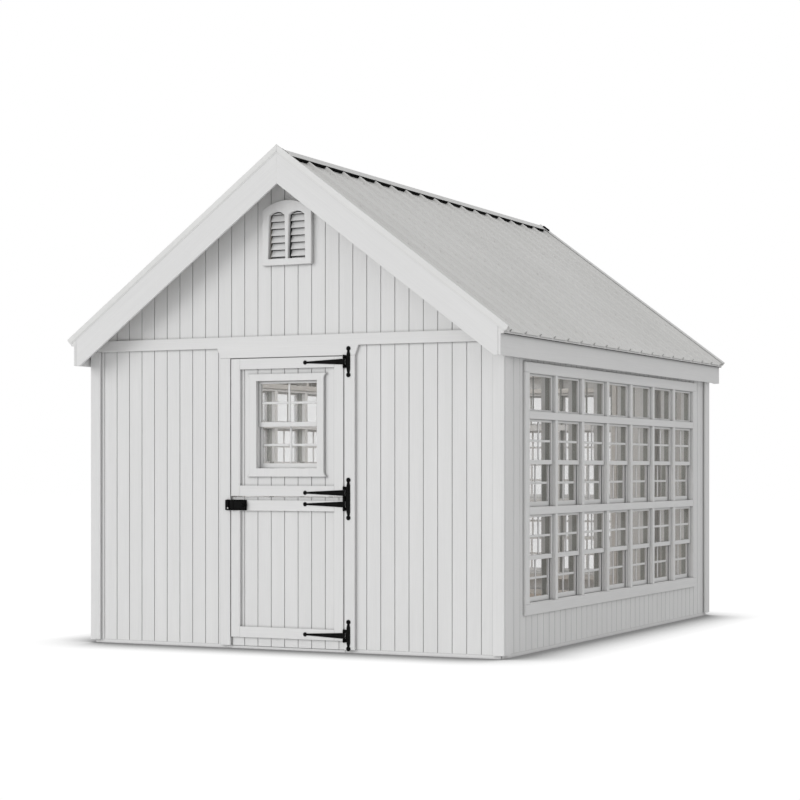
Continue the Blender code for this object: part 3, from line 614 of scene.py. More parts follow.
def framing(side, reach, top):
    bag = Bag(places[side], 11)
    stud, joint, foot = studs["wide"], studs["gap"], studs["foot"]
    span = (studs["back"], studs["front"])
    bag.board(-reach, reach, foot, foot + stud, *span)
    bag.board(-reach, reach, top - stud, top, *span)
    upper = top - stud - joint
    if side in ("left", "right"):
        # The side walls have a double plate
        bag.board(-reach, reach, upper - stud, upper, *span)
        upper -= stud + joint
    lower = foot + stud + joint
    half = bankHalf(side) + bank["liner"] + joint
    sill = bank["rows"][0][0] - bank["liner"] - joint
    head = bank["transom"][1] + bank["liner"] + joint
    bag.board(-half, half, sill - stud, sill, *span)
    bag.board(-half, half, head, head + stud, *span)
    for end in (-1, 1):
        bag.board(end * half, end * (half + stud), lower, upper, *span)
    for i in range(bank["bays"][side] + 1):
        middle = -bankHalf(side) - bank["post"] / 2 + i * (bank["pane"] + bank["post"])
        left = max(-half, min(half - stud, middle - stud / 2))
        bag.board(left, left + stud, lower, sill - stud - joint, *span)
        bag.board(left, left + stud, head + stud + joint, upper, *span)
    spots = []
    at = -reach
    while at < reach - stud:
        spots.append(at)
        at += studs["spacing"]
    for left in spots + [reach - stud]:
        if left > half + stud or left + stud < -half - stud:
            bag.board(left, left + stud, lower, upper, *span)
    bag.emit(side + "_framing", timber, "timber")


framing("right", wallReach - 0.001, house["wallTop"])
framing("left", wallReach - 0.001, house["wallTop"])
framing("back", plateReach, seam)


def frontFraming():
    bag = Bag(places["front"], 12)
    stud, joint, foot = studs["wide"], studs["gap"], studs["foot"]
    span = (studs["back"], studs["front"])
    lower, upper = foot + stud + joint, seam - stud - joint
    for start, end in ((-plateReach, doorLeft - 0.001), (doorRight + 0.001, plateReach)):
        bag.board(start, end, foot, foot + stud, *span)
        bag.board(start, end, seam - stud, seam, *span)
        at = start
        while at < end - stud * 1.5:
            bag.board(at, at + stud, lower, upper, *span)
            at += studs["spacing"]
        bag.board(end - stud, end, lower, upper, *span)
    bag.board(doorLeft + joint, doorRight - joint, doorHead + joint, seam - joint, *span)
    bag.emit("front_framing", timber, "timber")


frontFraming()


def gableFraming(side):
    bag = Bag(places[side], 13)
    half, back, front = studs["wide"] / 2, studs["back"], studs["front"]
    base = seam + 0.0008
    foot = base + studs["wide"]
    reach = wallHalf - 0.001
    top = deckRidge - 0.002
    bag.board(-reach, reach, base, foot, back, front)
    for step in (-4, -3, -2, -1, 1, 2, 3, 4):
        middle = step * studs["gableSpacing"]
        if top - (abs(middle) + half) * house["rise"] < foot + studs["wide"]:
            continue
        left, right = middle - half, middle + half
        outline = [(left, foot + studs["gap"]), (right, foot + studs["gap"])]
        outline += [(u, top - abs(u) * house["rise"]) for u in (right, left)]
        bag.prism(outline, back, front, 0.001, (0, 1))
    under = top - studs["rafter"] * upright
    for end in (-1, 1):
        # A rafter down each slope
        feet = [(end * (height - foot) / house["rise"], foot) for height in (under, top)]
        outline = [(0, top - 0.0005), (0, under)] + feet
        if end < 0:
            outline.reverse()
        along = (math.cos(slope), -end * math.sin(slope))
        bag.prism(outline, back + 0.02, front - 0.002, 0.001, along)
    bag.emit(side + "_gable_framing", timber, "timber")


gableFraming("front")
gableFraming("back")
print("framing made")


# Window banks
def sashBoards(bag, panes, box, face, rails, cross=None, stile=bank["stile"]):
    left, right, bottom, top = box
    lowRail, highRail = rails
    span = (face - bank["sash"], face, bank["edge"])
    inLeft, inRight = left + stile + gap, right - stile - gap
    inLow, inHigh = bottom + lowRail + gap, top - highRail - gap
    bag.board(left, left + stile, bottom, top, *span)
    bag.board(right - stile, right, bottom, top, *span)
    bag.board(inLeft, inRight, bottom, bottom + lowRail, *span)
    bag.board(inLeft, inRight, top - highRail, top, *span)
    if cross:
        # One upright bar and one level bar in two parts
        u, v = cross
        half = bank["muntin"] / 2
        front = face - bank["muntinBack"]
        span = (front - bank["bar"], front, 0.0025)
        bag.board(u - half, u + half, inLow, inHigh, *span)
        for start, end in ((inLeft, u - half - gap), (u + half + gap, inRight)):
            bag.board(start, end, v - half, v + half, *span)
    over = bank["rebate"]
    rear, front = bank["glass"]
    low, high = inLow - over, inHigh + over
    panes.board(left + stile - over, right - stile + over, low, high, face - rear, face - front, 0.0004)


def hungWindow(bag, panes, box, face, lift=bank["lift"], stile=bank["stile"]):
    left, right, bottom, top = box
    edge, meeting = bank["edge"], bank["meeting"]
    left, right = left + edge, right - edge
    bottom, top = bottom + edge, top - edge
    centre = (left + right) / 2
    low = (bottom + top) / 2 + lift - meeting / 2
    high = low + meeting
    # The upper sash in front, the lower one behind it
    glass = (high + top - bank["topRail"]) / 2
    rails = (meeting, bank["topRail"])
    sashBoards(bag, panes, (left, right, low, top), face, rails, (centre, glass), stile)
    glass = (bottom + bank["bottomRail"] + low) / 2
    rails = (bank["bottomRail"], meeting)
    rear = face - bank["step"]
    sashBoards(bag, panes, (left, right, bottom, high), rear, rails, (centre, glass), stile)


def bankFrame(side):
    bag = Bag(places[side], 21)
    half = bankHalf(side)
    rows, transom = bank["rows"], bank["transom"]
    sill, head = rows[0][0], transom[1]
    liner, reveal = bank["liner"], bank["reveal"]
    span = (-bank["deep"], bank["postFace"])
    # Sill and head run through, then the bars between the rows, then the posts
    bag.board(-half - liner, half + liner, sill - liner, sill, *span)
    bag.board(-half - liner, half + liner, head, head + liner, *span)
    for end in (-1, 1):
        bag.board(end * half, end * (half + liner), sill + gap, head - gap, *span)
    for bottom, top in ((rows[0][1], rows[1][0]), (rows[1][1], transom[0])):
        bag.board(-half + gap, half - gap, bottom, top, *span)
    for i in range(bank["bays"][side] - 1):
        left = -half + bank["pane"] + i * (bank["pane"] + bank["post"])
        for bottom, top in (*rows, transom):
            bag.board(left, left + bank["post"], bottom + gap, top - gap, span[0], span[1] - 0.0006)
    # Casing on the boards round the bank
    outer = half + bank["faceSide"]
    low, high = sill - bank["faceBottom"], head + bank["faceTop"]
    foot, crown = sill - reveal, head + reveal
    span = (seat, house["trim"], 0.002)
    bag.board(-outer, outer, low, foot, *span)
    bag.board(-outer, outer, crown, high, *span)
    for end in (-1, 1):
        bag.board(end * outer, end * (half + reveal), foot + gap, crown - gap, *span)
    bag.emit(side + "_bank_frame", trimPaint, "trim", [side + "_window_frame"])


def windowBank(side):
    bankFrame(side)
    sashes, panes, tracks, bars = [Bag(places[side], seed) for seed in (22, 23, 24, 25)]
    edge, thick, face = bank["edge"], bank["track"], bank["sashFace"]
    stop = face - bank["sash"]
    inner = stop - 0.0006
    upperTrack = (inner - bank["trackDeep"], inner, 0.0003)
    lowerTrack = (upperTrack[0] - bank["step"], inner - bank["step"], 0.0003)
    for i in range(bank["bays"][side]):
        left = -bankHalf(side) + i * (bank["pane"] + bank["post"])
        right = left + bank["pane"]
        for bottom, top in bank["rows"]:
            hungWindow(sashes, panes, (left, right, bottom, top), face)
            middle = (bottom + top) / 2 - bank["stopDrop"]
            for start in (left, right - bank["stop"]):
                end = start + bank["stop"]
                sashes.board(start, end, bottom + gap, middle, stop, stop + 0.008, 0.001)
        bottom, top = bank["transom"]
        box = (left + edge, right - edge, bottom + edge, top - edge)
        sashBoards(sashes, panes, box, face, bank["transomRails"])
        # The transom's one bar stands behind its glass, in a dark grey that is painted shade
        middle = (left + right) / 2
        half, back, front = bank["transomBar"]
        bars.board(middle - half, middle + half, bottom + gap, top - gap, back, front, 0.001)
        # Jamb tracks that the sashes slide in; their darker grey is painted shade of the pocket behind the
        # sashes
        for start in (left + 0.0002, right - thick - 0.0002):
            end = start + thick
            for bottom, top in bank["rows"]:
                middle = (bottom + top) / 2 + bank["trackLift"]
                tracks.board(start, end, middle, top - gap, *upperTrack)
                tracks.board(start, end, bottom + gap, middle - 0.0005, *lowerTrack)
            bottom, top = bank["transom"]
            tracks.board(start, end, bottom + gap, top - gap, *upperTrack)
    bars.emit(side + "_transom_bars", shadedGrey, "trim")
    tracks.emit(side + "_bank_tracks", shadedGrey, "trim")
    sashes.emit(side + "_bank_sashes", trimPaint, "trim", [side + "_window_sashes"])
    panes.emit(side + "_bank_panes", clearGlass, "glass", [side + "_window_glass"])


for side in ("right", "left", "back"):
    windowBank(side)
print("window banks made")


# Skirting in front of the floor's edge, lower beneath the door
skirt = {"foot": 0.0006, "front": -0.003, "doorFront": -0.0008, "doorGap": 0.0035, "cut": 0.0006}


def skirting():
    foot, under, cut = skirt["foot"], boardFoot - 0.0005, skirt["cut"]
    back, front = -house["sheet"], skirt["front"]
    wide = wallHalf - house["sheet"]
    bag = Bag(places["front"], 81)
    bag.board(-wide, doorLeft, foot, under, back, front, cut)
    bag.board(doorRight, wide, foot, under, back, front, cut)
    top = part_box("lower_door_leaf")[0].z - skirt["doorGap"]
    bag.board(doorLeft + 0.0005, doorRight - 0.0005, foot, top, back, skirt["doorFront"], cut)
    bag.emit("front_skirting", trimPaint, "boards")
    for side in ("left", "right", "back"):
        reach = (wide if side == "back" else house["faceY"] - house["sheet"]) - 0.001
        bag = Bag(places[side], 82)
        bag.board(-reach, reach, foot, under, back, front, cut)
        bag.emit(side + "_skirting", trimPaint, "boards")


skirting()

# Trim boards
trimDepth = house["trim"]
trimOuter = wallHalf + trimDepth
trimSpan = (seat, trimDepth, 0.002)
facing = {"corner": 0.077, "cornerDeep": 0.090, "jamb": 0.076, "bandSlant": 0.026}


def cornerBoards():
    for end in ("front", "back"):
        for hand, name in ((-1, "left"), (1, "right")):
            boxLow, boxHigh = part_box(end + "_corner_" + name)
            bottom, top = boxLow.z, boxHigh.z
            bag = Bag(places[end], 31)
            # Seen from outside, the back wall's right-hand side is at -X
            seen = hand if end == "front" else -hand
            outer = seen * trimOuter
            bag.board(outer, outer - seen * facing["corner"], bottom, top, *trimSpan, (0, 1))
            inner = seen * (wallHalf + seat)
            bag.board(outer, inner, bottom, top, -facing["cornerDeep"], -0.0002, 0.002, (0, 1))
            bag.emit(end + "_corner_boards_" + name, trimPaint, "trim", [end + "_corner_" + name])


cornerBoards()

doorCentre = (doorLeft + doorRight) / 2
doorHalf = (doorRight - doorLeft) / 2
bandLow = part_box("back_band")[0].z
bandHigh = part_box("back_band")[1].z


def band(side, withHeader):
    bag = Bag(places[side], 33)
    outline = [(-trimOuter, bandLow)]
    if withHeader:
        # It steps up over the door between the two jamb boards
        narrow = doorHalf + facing["jamb"] + seat
        wide = doorHalf + facing["jamb"] + facing["bandSlant"]
        foot = doorHead + seat
        outline += [(doorCentre - wide, bandLow), (doorCentre - narrow, foot)]
        outline += [(doorCentre + narrow, foot), (doorCentre + wide, bandLow)]
    outline += [(trimOuter, bandLow), (trimOuter, bandHigh), (-trimOuter, bandHigh)]
    bag.prism(outline, *trimSpan, (1, 0))
    bag.emit(side + "_band_board", trimPaint, "trim", [side + "_band"])


band("front", True)
band("back", False)

for name in ("left", "right"):
    bag = Bag(places["front"], 35)
    boxLow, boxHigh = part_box("door_casing_" + name)
    bag.board(boxLow.x, boxHigh.x, boxLow.z, boxHigh.z, *trimSpan)
    bag.emit("door_jamb_board_" + name, trimPaint, "trim", ["door_casing_" + name])

rake = {
    "depth": 0.165,
    "front": -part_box("front_rake_left")[1].y - house["faceY"],
    "back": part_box("back_rake_left")[0].y - house["faceY"],
}


def rakeBoards(side):
    lower = house["ridge"] - rake["depth"] * upright
    toe = (lower - house["eaveBottom"]) / house["rise"]
    reach = house["eaveBack"] - gap
    top = house["ridge"] - reach * house["rise"]
    for hand, name in ((-1, "left"), (1, "right")):
        if side == "back":
            name = "right" if hand < 0 else "left"
        outline = [(seat, lower), (toe, house["eaveBottom"]), (reach, house["eaveBottom"])]
        outline += [(reach, top), (seat, house["ridge"])]
        if hand < 0:
            outline = [(-x, y) for x, y in reversed(outline)]
        bag = Bag(places[side], 37)
        along = (math.cos(slope), -hand * math.sin(slope))
        bag.prism(outline, rake[side], rake[side] + trimDepth, 0.0012, along)
        for vert in bag.verts:
            # The two boards meet at the ridge with a hairline between them
            if abs(vert.x) < 0.003:
                vert.x = math.copysign(0.00012, vert.x)
        bag.emit("%s_rake_board_%s" % (side, name), trimPaint, "trim", ["%s_rake_%s" % (side, name)])


rakeBoards("front")
rakeBoards("back")

for side in ("left", "right"):
    bag = Bag(places[side], 39)
    out = house["eaveBack"] - house["faceX"]
    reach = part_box(side + "_eave_board")[1].y + seat + trimDepth
    bag.board(-reach, reach, house["eaveBottom"], house["eaveTop"], out, out + trimDepth, 0.002)
    bag.emit(side + "_fascia_board", trimPaint, "trim", [side + "_eave_board"])
print("trim made")


# Door leaves: boards, stiles and rails, the upper one with a window
upperLow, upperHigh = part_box("upper_door_leaf")
glassLow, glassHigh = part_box("door_window_glass")
leaf = {
    "left": upperLow.x,
    "right": upperHigh.x,
    "upper": (1.0195, upperHigh.z + 0.0017),
    "lower": (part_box("lower_door_leaf")[0].z, 1.0143),
    "stile": 0.068,
    "rail": 0.070,
    "brace": 0.018,
    "braceWide": 0.09,
    "braceEnd": 0.04,
    "back": 0.030,
    "drop": 0.022,
    "raise": 0.058,
}
pane = {
    "left": glassLow.x - 0.0003,
    "right": glassHigh.x + 0.0003,
    "bottom": 1.2045,
    "top": 1.7845,
    "sash": -0.011,
    "lift": 0.0015,
    "stile": 0.016,
    "casing": 0.048,
    "ear": 0.025,
    "earHigh": 0.040,
    "head": 0.046,
    "sill": 0.055,
    "proud": 0.022,
    "liner": (-0.070, -0.0005),
}


def doorLeaf(name, body, raised, drop, hole):
    bottom, top = leaf[name]
    left, right = leaf["left"], leaf["right"]
    stile, rail = leaf["stile"], leaf["rail"]
    groovedSheet(name + "_leaf_boards", "front", rect(left, right, bottom, top), hole, [], body)
    bag = Bag(places["front"], 41)
    inLeft, inRight = left + stile + 0.0002, right - stile - 0.0002
    foot = max(bottom + leaf["back"], house["floorTop"] + 0.007)
    back, front = -house["sheet"] - leaf["brace"], -house["sheet"] - 0.0002
    # The frame on the face, then the bracing behind
    faces = (bottom + raised, top - drop, 0.0002, trimDepth, 0.0008)
    for low, high, rear, face, cut in (faces, (foot, top - leaf["back"], back, front, 0.0015)):
        bag.board(left, left + stile, low, high, rear, face, 0.0015)
        bag.board(right - stile, right, low, high, rear, face, 0.0015)
        bag.board(inLeft, inRight, low, low + rail, rear, face, cut)
        bag.board(inLeft, inRight, high - rail, high, rear, face, cut)
    if not hole:
        # A slanting brace in the lower leaf
        low, high = foot + rail + 0.001, top - leaf["back"] - rail - 0.001
        wide, end = leaf["braceWide"], leaf["braceEnd"]
        outline = [(inRight - wide, low), (inRight, low), (inRight, low + end)]
        outline += [(inLeft + wide, high), (inLeft, high), (inLeft, high - end)]
        length = math.hypot(inRight - inLeft, high - low)
        lean = ((inLeft - inRight) / length, (high - low) / length)
        bag.prism(outline, back, front, 0.0015, lean)
    bag.emit(name + "_leaf_frame", trimPaint, "boards", [name + "_door_leaf"], body)


lap = bank["liner"] + seat
windowHole = rect(pane["left"] - lap, pane["right"] + lap, pane["bottom"] - lap, pane["top"] + lap)
doorLeaf("upper", "upper_door", 0.0, 0.0, [windowHole])
doorLeaf("lower", "lower_door", leaf["raise"], leaf["drop"], [])


def doorStops():
    # Strips behind the leaves' edges, fixed to the jambs and the head
    bag = Bag(places["front"], 42)
    front = -house["sheet"] - leaf["brace"] - 0.0056
    low, high = house["floorTop"] + 0.0006, doorHead - gap
    left, right = doorLeft + gap, doorRight - gap
    deep = 0.022
    span = (front - 0.024, front, 0.0015)
    bag.board(left, doorLeft + deep, low, high, *span)
    bag.board(doorRight - deep, right, low, high, *span)
    bag.board(left + deep, right - deep, high - deep, high, *span)
    # Seal in the joint over the upper leaf
    bag.board(left, right, leaf["upper"][1] + 0.0012, doorHead - 0.0002, -0.012, -0.0035, 0.0004)
    bag.emit("door_stops", trimPaint, "trim")


doorStops()


def casingOutline(left, right, bottom, top):
    # Side casings that flare out into ears at the head and at the sill
    tall = pane["earHigh"]
    ear = []
    for step in range(7):
        angle = math.pi / 2 * step / 6
        ear.append((pane["casing"] + pane["ear"] * (1 - math.cos(angle)), tall * math.sin(angle)))
    head = top + pane["head"] - tall
    sill = bottom - pane["sill"] + tall
    ring = [(right + u, sill - v) for u, v in reversed(ear)]
    ring += [(right + u, head + v) for u, v in ear]
    ring += [(left - u, head + v) for u, v in reversed(ear)]
    return ring + [(left - u, sill - v) for u, v in ear]


def doorWindow():
    box = left, right, bottom, top = pane["left"], pane["right"], pane["bottom"], pane["top"]
    bag, sashes, panes = [Bag(places["front"], seed) for seed in (43, 44, 45)]
    liner, span = bank["liner"], pane["liner"]
    bag.board(left - liner, right + liner, bottom - liner, bottom, *span)
    bag.board(left - liner, right + liner, top, top + liner, *span)
    bag.board(left - liner, left, bottom + gap, top - gap, *span)
    bag.board(right, right + liner, bottom + gap, top - gap, *span)
    bag.emit("door_window_liner", trimPaint, "trim", ["door_window_frame"], "upper_door")
    outline = casingOutline(*box)
    trimShape(
        "door_window_casing", "front", outline, [rect(*box)], pane["proud"], 0.0012, (), "upper_door"
    )
    hungWindow(sashes, panes, box, pane["sash"], pane["lift"], pane["stile"])
    sashes.emit("door_window_sashes", trimPaint, "trim", ["door_window_sash"], "upper_door")
    panes.emit("door_window_panes", clearGlass, "glass", ["door_window_glass"], "upper_door")


doorWindow()
print("door made")


# Gable vents: arched frame with louvre blades
def ventBlades(bag, middle, low, width):
    # Thin boards that lean out and down, their ends let into the frame
    pitch = vent["opening"] / vent["blades"]
    left = middle - width / 2
    for blade in range(-1, vent["blades"]):
        high = low + pitch * (blade + 1) + vent["shift"]
        drop = pitch - 0.0018 if blade >= 0 else vent["shift"] + 0.004
        outline = [(0.0045, high - drop), (0.0090, high - drop + 0.001)]
        outline += [(-0.0150, high - 0.001), (-0.0190, high - 0.002)]
        rings = []
        for u in (left + 0.0115, left + width + 0.003):
            rings.append([((u, v, w), [u + blade * vent["bladeGrain"], v, w]) for w, v in outline])
        bag.loft(rings)
    # The arched piece over the top blade
    spring = low + vent["opening"]
    foot = spring + vent["shift"] + 0.0018
    crown = bow(middle + 0.004, spring, width / 2, vent["arch"] - 0.009, 16)
    crown = [(u, max(v, foot + 0.002)) for u, v in crown]
    bag.prism([(crown[-1][0], foot), (crown[0][0], foot)] + crown, 0.0075, 0.0110, 0.0006)


def gableVent(side):
    half = vent["half"]
    bottom = vent["low"]
    crown = bow(0, bottom + vent["shoulder"], half, vent["rise"], 24)
    low = bottom + vent["rail"]
    width = half - vent["stile"] - vent["mullion"] / 2
    middle = vent["mullion"] / 2 + width / 2
    holes = []
    bag = Bag(places[side], 51)
    for centre in (-middle, middle):
        arch = bow(centre, low + vent["opening"], width / 2, vent["arch"], 16)
        left = centre - width / 2
        holes.append([(left, low), (left + width, low)] + arch[1:-1])
        ventBlades(bag, centre, low, width)
    outline = [(-half, bottom), (half, bottom)] + crown
    trimShape(side + "_vent_face", side, outline, holes, vent["depth"], 0.0015, [side + "_vent"])
    bag.emit(side + "_vent_blades", trimPaint, "trim")
    # A dark insect screen behind the blades; its near-black is painted shade in the slots
    net = Bag(places[side], 52)
    left, right, foot, head = vent["net"]
    net.board(left, right, bottom + foot, bottom + head, *vent["netDeep"], 0.0004)
    net.emit(side + "_vent_screen_shade", ventShade, "trim")


gableVent("front")
gableVent("back")
print("vents made")

# Roof metal: ribbed sheets, trim over the rakes, screws and the ridge cap
roof = {
    "pitch": 0.248,
    "ribHigh": 0.019,
    "ribTop": 0.018,
    "ribFoot": 0.044,
    "swage": 0.0012,
    "sheet": 0.0012,
    "start": 0.024,
    "drip": 0.030,
    "dripEdge": 0.021,
    "tip": 0.030,
    "lip": -0.003,
    "stand": {"front": 0.0400, "back": 0.0310},
    "flange": 0.036,
    "capLift": 0.0030,
    "capSheet": 0.0015,
    "wing": 0.078,
    "half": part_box("right_roof_metal")[1].y,
    "screwRows": (0.14, 0.58, 1.02, 1.46, 1.88),
    "screwAside": 0.034,
    "screwEdge": 0.07,
    "washer": 0.007,
    "head": 0.004,
}
ribs = int(roof["half"] / roof["pitch"])


def slopePlace(hand):
    # Along the eave, down the slope and out of the roof
    out = Vector((hand * math.sin(slope), 0, math.cos(slope)))
    down = Vector((hand * math.cos(slope), 0, -math.sin(slope)))
    made = Matrix((down.cross(out), down, out)).transposed().to_4x4()
    made.translation = Vector((0, 0, house["ridge"])) + out * 0.0004
    return made


def sheetProfile():
    half = roof["half"] - 0.0025
    foot, top, high, swage = roof["ribFoot"] / 2, roof["ribTop"] / 2, roof["ribHigh"], roof["swage"]
    rising = [(-foot, 0.0), (-foot + 0.004, 0.0022), (-top - 0.002, high - 0.0015), (-top, high)]
    rib = rising + [(-u, w) for u, w in reversed(rising)]
    points = [(-half, 0.0)]
    for i in range(-ribs, ribs + 1):
        at = i * roof["pitch"]
        points += [(at + u, w) for u, w in rib]
        if i < ribs:
            # Two low swages between the ribs
            for share in (1 / 3, 2 / 3):
                spot = at + roof["pitch"] * share
                points += [(spot - 0.009, 0.0), (spot - 0.003, swage)]
                points += [(spot + 0.003, swage), (spot + 0.009, 0.0)]
    return points + [(half, 0.0)]


def rakeTrim(side, name, direction, end):
    # Trim standing along the sheet's edge, with a flange lying over the first rib
    place = slopePlace(1 if side == "right" else -1)
    bag = Bag(place, 61)
    outer, stand, flange = roof["half"], roof["stand"][name], roof["half"] - roof["flange"]
    ring = [
        (flange, 0.0205),
        (outer - 0.006, stand - 0.0015),
        (outer - 0.0015, stand - 0.0035),
        (outer - 0.0015, -roof["lip"] + 0.0005),
        (outer, -roof["lip"]),
        (outer, stand - 0.002),
        (outer - 0.004, stand),
        (flange, 0.0220),
    ]
    ring = [(direction * u, w) for u, w in ring]
    if direction < 0:
        ring.reverse()
    # The top end follows the upright plane where the two slopes meet
    top = [((u, 0.0003 - w * house["rise"], w), [0.0, u, w]) for u, w in ring]
    tip = (house["eaveFace"] + roof["tip"]) * upright
    bag.loft([top, [((u, tip + 0.0003, w), [tip, u, w]) for u, w in ring]], True)
    # A strip in the joint between the sheet's edge and the rake board
    face = direction * (house["faceY"] + rake[name] + trimDepth)
    inner, outer = face - direction * 0.004, face + direction * 0.0012
    bag.board(inner, outer, 0.0008, end - 0.004, -0.0050, 0.0055, 0.0003)
    bag.emit("%s_rake_trim_%s" % (side, name), whiteMetal, "roof_metal")


def eaveTrim(side, hand):
    # Drip edge under the sheet and the dark closure strip behind it, its black painted shade under the drip
    bag = Bag(places[side], 63)
    closures = Bag(places[side], 64)
    out = house["eaveFace"] - house["faceX"]
    edge = out + roof["dripEdge"]
    under = house["ridge"] - (house["eaveFace"] + roof["dripEdge"]) * house["rise"]
    reach = roof["half"] - 0.003
    bag.board(-reach, reach, under - 0.0185, under - 0.0005, edge - 0.0015, edge, 0.0004)
    inner = reach - 0.004
    closures.board(-inner, inner, under - 0.0198, under - 0.0035, out + 0.001, edge - 0.0025, 0.001)
    # Filled ends at the corners of the eaves
    back, front = house["eaveBack"] + 0.0005, house["eaveFace"] + 0.0190
    foot = under - 0.0215
    heel = min(foot, house["eaveTop"] - 0.002)
    outline = [(back, heel), (house["eaveFace"] - 0.0005, heel), (house["eaveFace"] + 0.0005, foot)]
    outline += [(front, foot)]
    outline += [(x, house["ridge"] - x * house["rise"] - 0.0006) for x in (front, back)]
    for end in ("front", "back"):
        bag.place = places[end]
        turned = hand if end == "front" else -hand
        ring = [(turned * x, z) for x, z in outline]
        if turned < 0:
            ring.reverse()
        bag.prism(ring, reach - 0.0015 - house["faceY"], reach - house["faceY"], 0.0002)
    bag.emit(side + "_drip_edge", whiteMetal, "roof_metal")
    # Black closure strips between the ribs under the ridge cap: painted shade in the gaps
    closures.place = slopePlace(hand)
    half, start = roof["half"], roof["wing"] - 0.020
    span = (start, start + 0.012, roof["sheet"] + 0.0002, 0.0195 + roof["capLift"], 0.0006)
    for rib in range(-ribs - 1, ribs + 1):
        left = max(rib * roof["pitch"] + 0.006, -half + 0.042)
        right = min((rib + 1) * roof["pitch"] - 0.006, half - 0.042)
        closures.board(left, right, *span)
    for end in (-1, 1):
        # Dark filler between the cap's end and the rake trim: painted shadow in the gap
        one, two = end * (half - 0.0045), end * (half - 0.024)
        closures.board(one, two, 0.014, roof["wing"], 0.0195, 0.0385, 0.0006)
    closures.emit(side + "_closures", shadeFoam, "roof_metal")


def roofSheet(side, hand):
    place = slopePlace(hand)
    points = sheetProfile()
    thick = roof["sheet"]
    section = [(u, w + thick) for u, w in points] + points[::-1]
    start = roof["start"]
    end = (house["eaveFace"] + roof["drip"]) * upright
    rows = [start + (end - start) * i / 12 for i in range(13)]
    verts = [place @ Vector((u, row, w)) for row in rows for u, w in section]
    name = side + "_roof_sheets"
    obj = linked(name, tubeMesh(name, verts, len(section), True), roofPaint)
    settle(obj, [side + "_roof_metal"])
    rakeTrim(side, "front", hand, end)
    rakeTrim(side, "back", -hand, end)
    eaveTrim(side, hand)
    # Screws with washers beside the ribs
    bag = Bag(place, 62)
    face = thick + 0.0018
    for row in roof["screwRows"]:
        for rib in range(-ribs, ribs + 1):
            at = rib * roof["pitch"] + roof["screwAside"]
            if abs(at) <= roof["half"] - roof["screwEdge"]:
                washer = arc((at, row), roof["washer"], 0, 330, 11)
                bag.prism(washer, thick + 0.0002, face, 0.0006)
                bag.prism(arc((at, row), roof["head"], 0, 300, 5), face, face + 0.0044, 0.0006)
    bag.emit(side + "_roof_screws", roofPaint, "roof_metal")


roofSheet("right", 1)
roofSheet("left", -1)


def ridgeCap():
    reach = roof["wing"] / upright
    thick = roof["capSheet"]
    # Its underside lies on the ribs and the rake trims
    rest = house["ridge"] + (roof["ribHigh"] + 0.0008 + roof["capLift"]) * upright
    lower = [(x, rest - abs(x) * house["rise"]) for x in (-reach, -0.010, -0.004, 0.004, 0.010, reach)]
    upper = [(x, z + thick * upright) for x, z in lower]
    # Its two edges are folded under in a narrow hem
    hem, fold = 0.006, 0.0020
    edge = lower[0][1]
    inner = edge + hem * house["rise"]
    section = [(hem - reach, inner - fold), (-reach, edge - fold)] + upper
    section += [(reach, edge - fold), (reach - hem, inner - fold), (reach - hem, inner)]
    section += lower[-2:0:-1] + [(hem - reach, inner)]
    half = roof["half"] - 0.022
    stops = [-half + 2 * half * i / 8 for i in range(9)]
    verts = [Vector((x, y, z)) for y in stops for x, z in section]
    cap = linked("ridge_cap_sheet", tubeMesh("ridge_cap_sheet", verts, len(section)), whiteMetal)
    settle(cap, ["ridge_cap"])
    # Screws along both wings, one in every rib
    bag = Bag(slopePlace(-1), 65)
    level = roof["ribHigh"] + roof["capLift"] + 0.0004 + thick
    for hand in (-1, 1):
        bag.place = slopePlace(hand)
        for rib in range(-ribs, ribs + 1):
            spot = (rib * roof["pitch"], reach * upright - 0.018)
            bag.prism(arc(spot, roof["head"], 0, 300, 5), level, level + 0.004, 0.0006)
    bag.emit("ridge_screws", whiteMetal, "roof_metal")


ridgeCap()
print("roof made")

# Black strap hinges and the latch
iron = {
    "axis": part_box("strap_top")[1].x - 0.008 + 0.0003,
    "face": trimDepth + seat,
    "thick": 0.003,
    "length": 0.306,
    "wide": 0.038,
    "narrow": 0.015,
    "ball": 0.0140,
    "drop": 0.0055,
    "pin": 0.0080,
    "pinThin": 0.0046,
    "barrel": 0.0077,
    "knuckle": 0.0303,
    "knuckleHalf": 0.0108,
    "plateWide": 0.026,
    "plateBall": 0.0155,
    "plateOut": 0.030,
    "plateEnd": 0.036,
    "screw": 0.0042,
    "endScrew": 0.006,
    "neck": 0.62,
    "pinHalf": 0.0445,
    "strapHalf": 0.0194,
    "runOn": 0.0412,
    "screwAside": 0.022,
}
ironSpan = (iron["face"], iron["face"] + iron["thick"])


def roundBar(bag, radius, low, high, steps=20):
    # An upright bar on the hinge's axis
    cut = min(radius * 0.25, (high - low) / 4)
    rings = []
    for wide, level in ((radius - cut, low), (radius, low + cut), (radius, high - cut), (radius - cut, high)):
        ring = arc((iron["axis"], iron["face"] + iron["pin"]), wide, 0, 360 - 360 / steps, steps - 1)
        rings.append([((u, level, w), [level, u, w]) for u, w in ring])
    bag.loft(rings, True)


def screwHead(bag, u, v, face, radius=iron["screw"]):
    steps = 14
    rings = []
    for share, level in ((1.0, 0.0), (0.92, 0.0010), (0.6, 0.0019), (0.2, 0.0022)):
        ring = arc((u, v), radius * share, 0, 360 - 360 / steps, steps - 1)
        rings.append([((x, y, face + level), [u, v, level]) for x, y in ring])
    bag.loft(rings)


def middleOf(name):
    boxLow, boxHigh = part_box(name)
    return (boxLow.z + boxHigh.z) / 2 - iron["drop"]


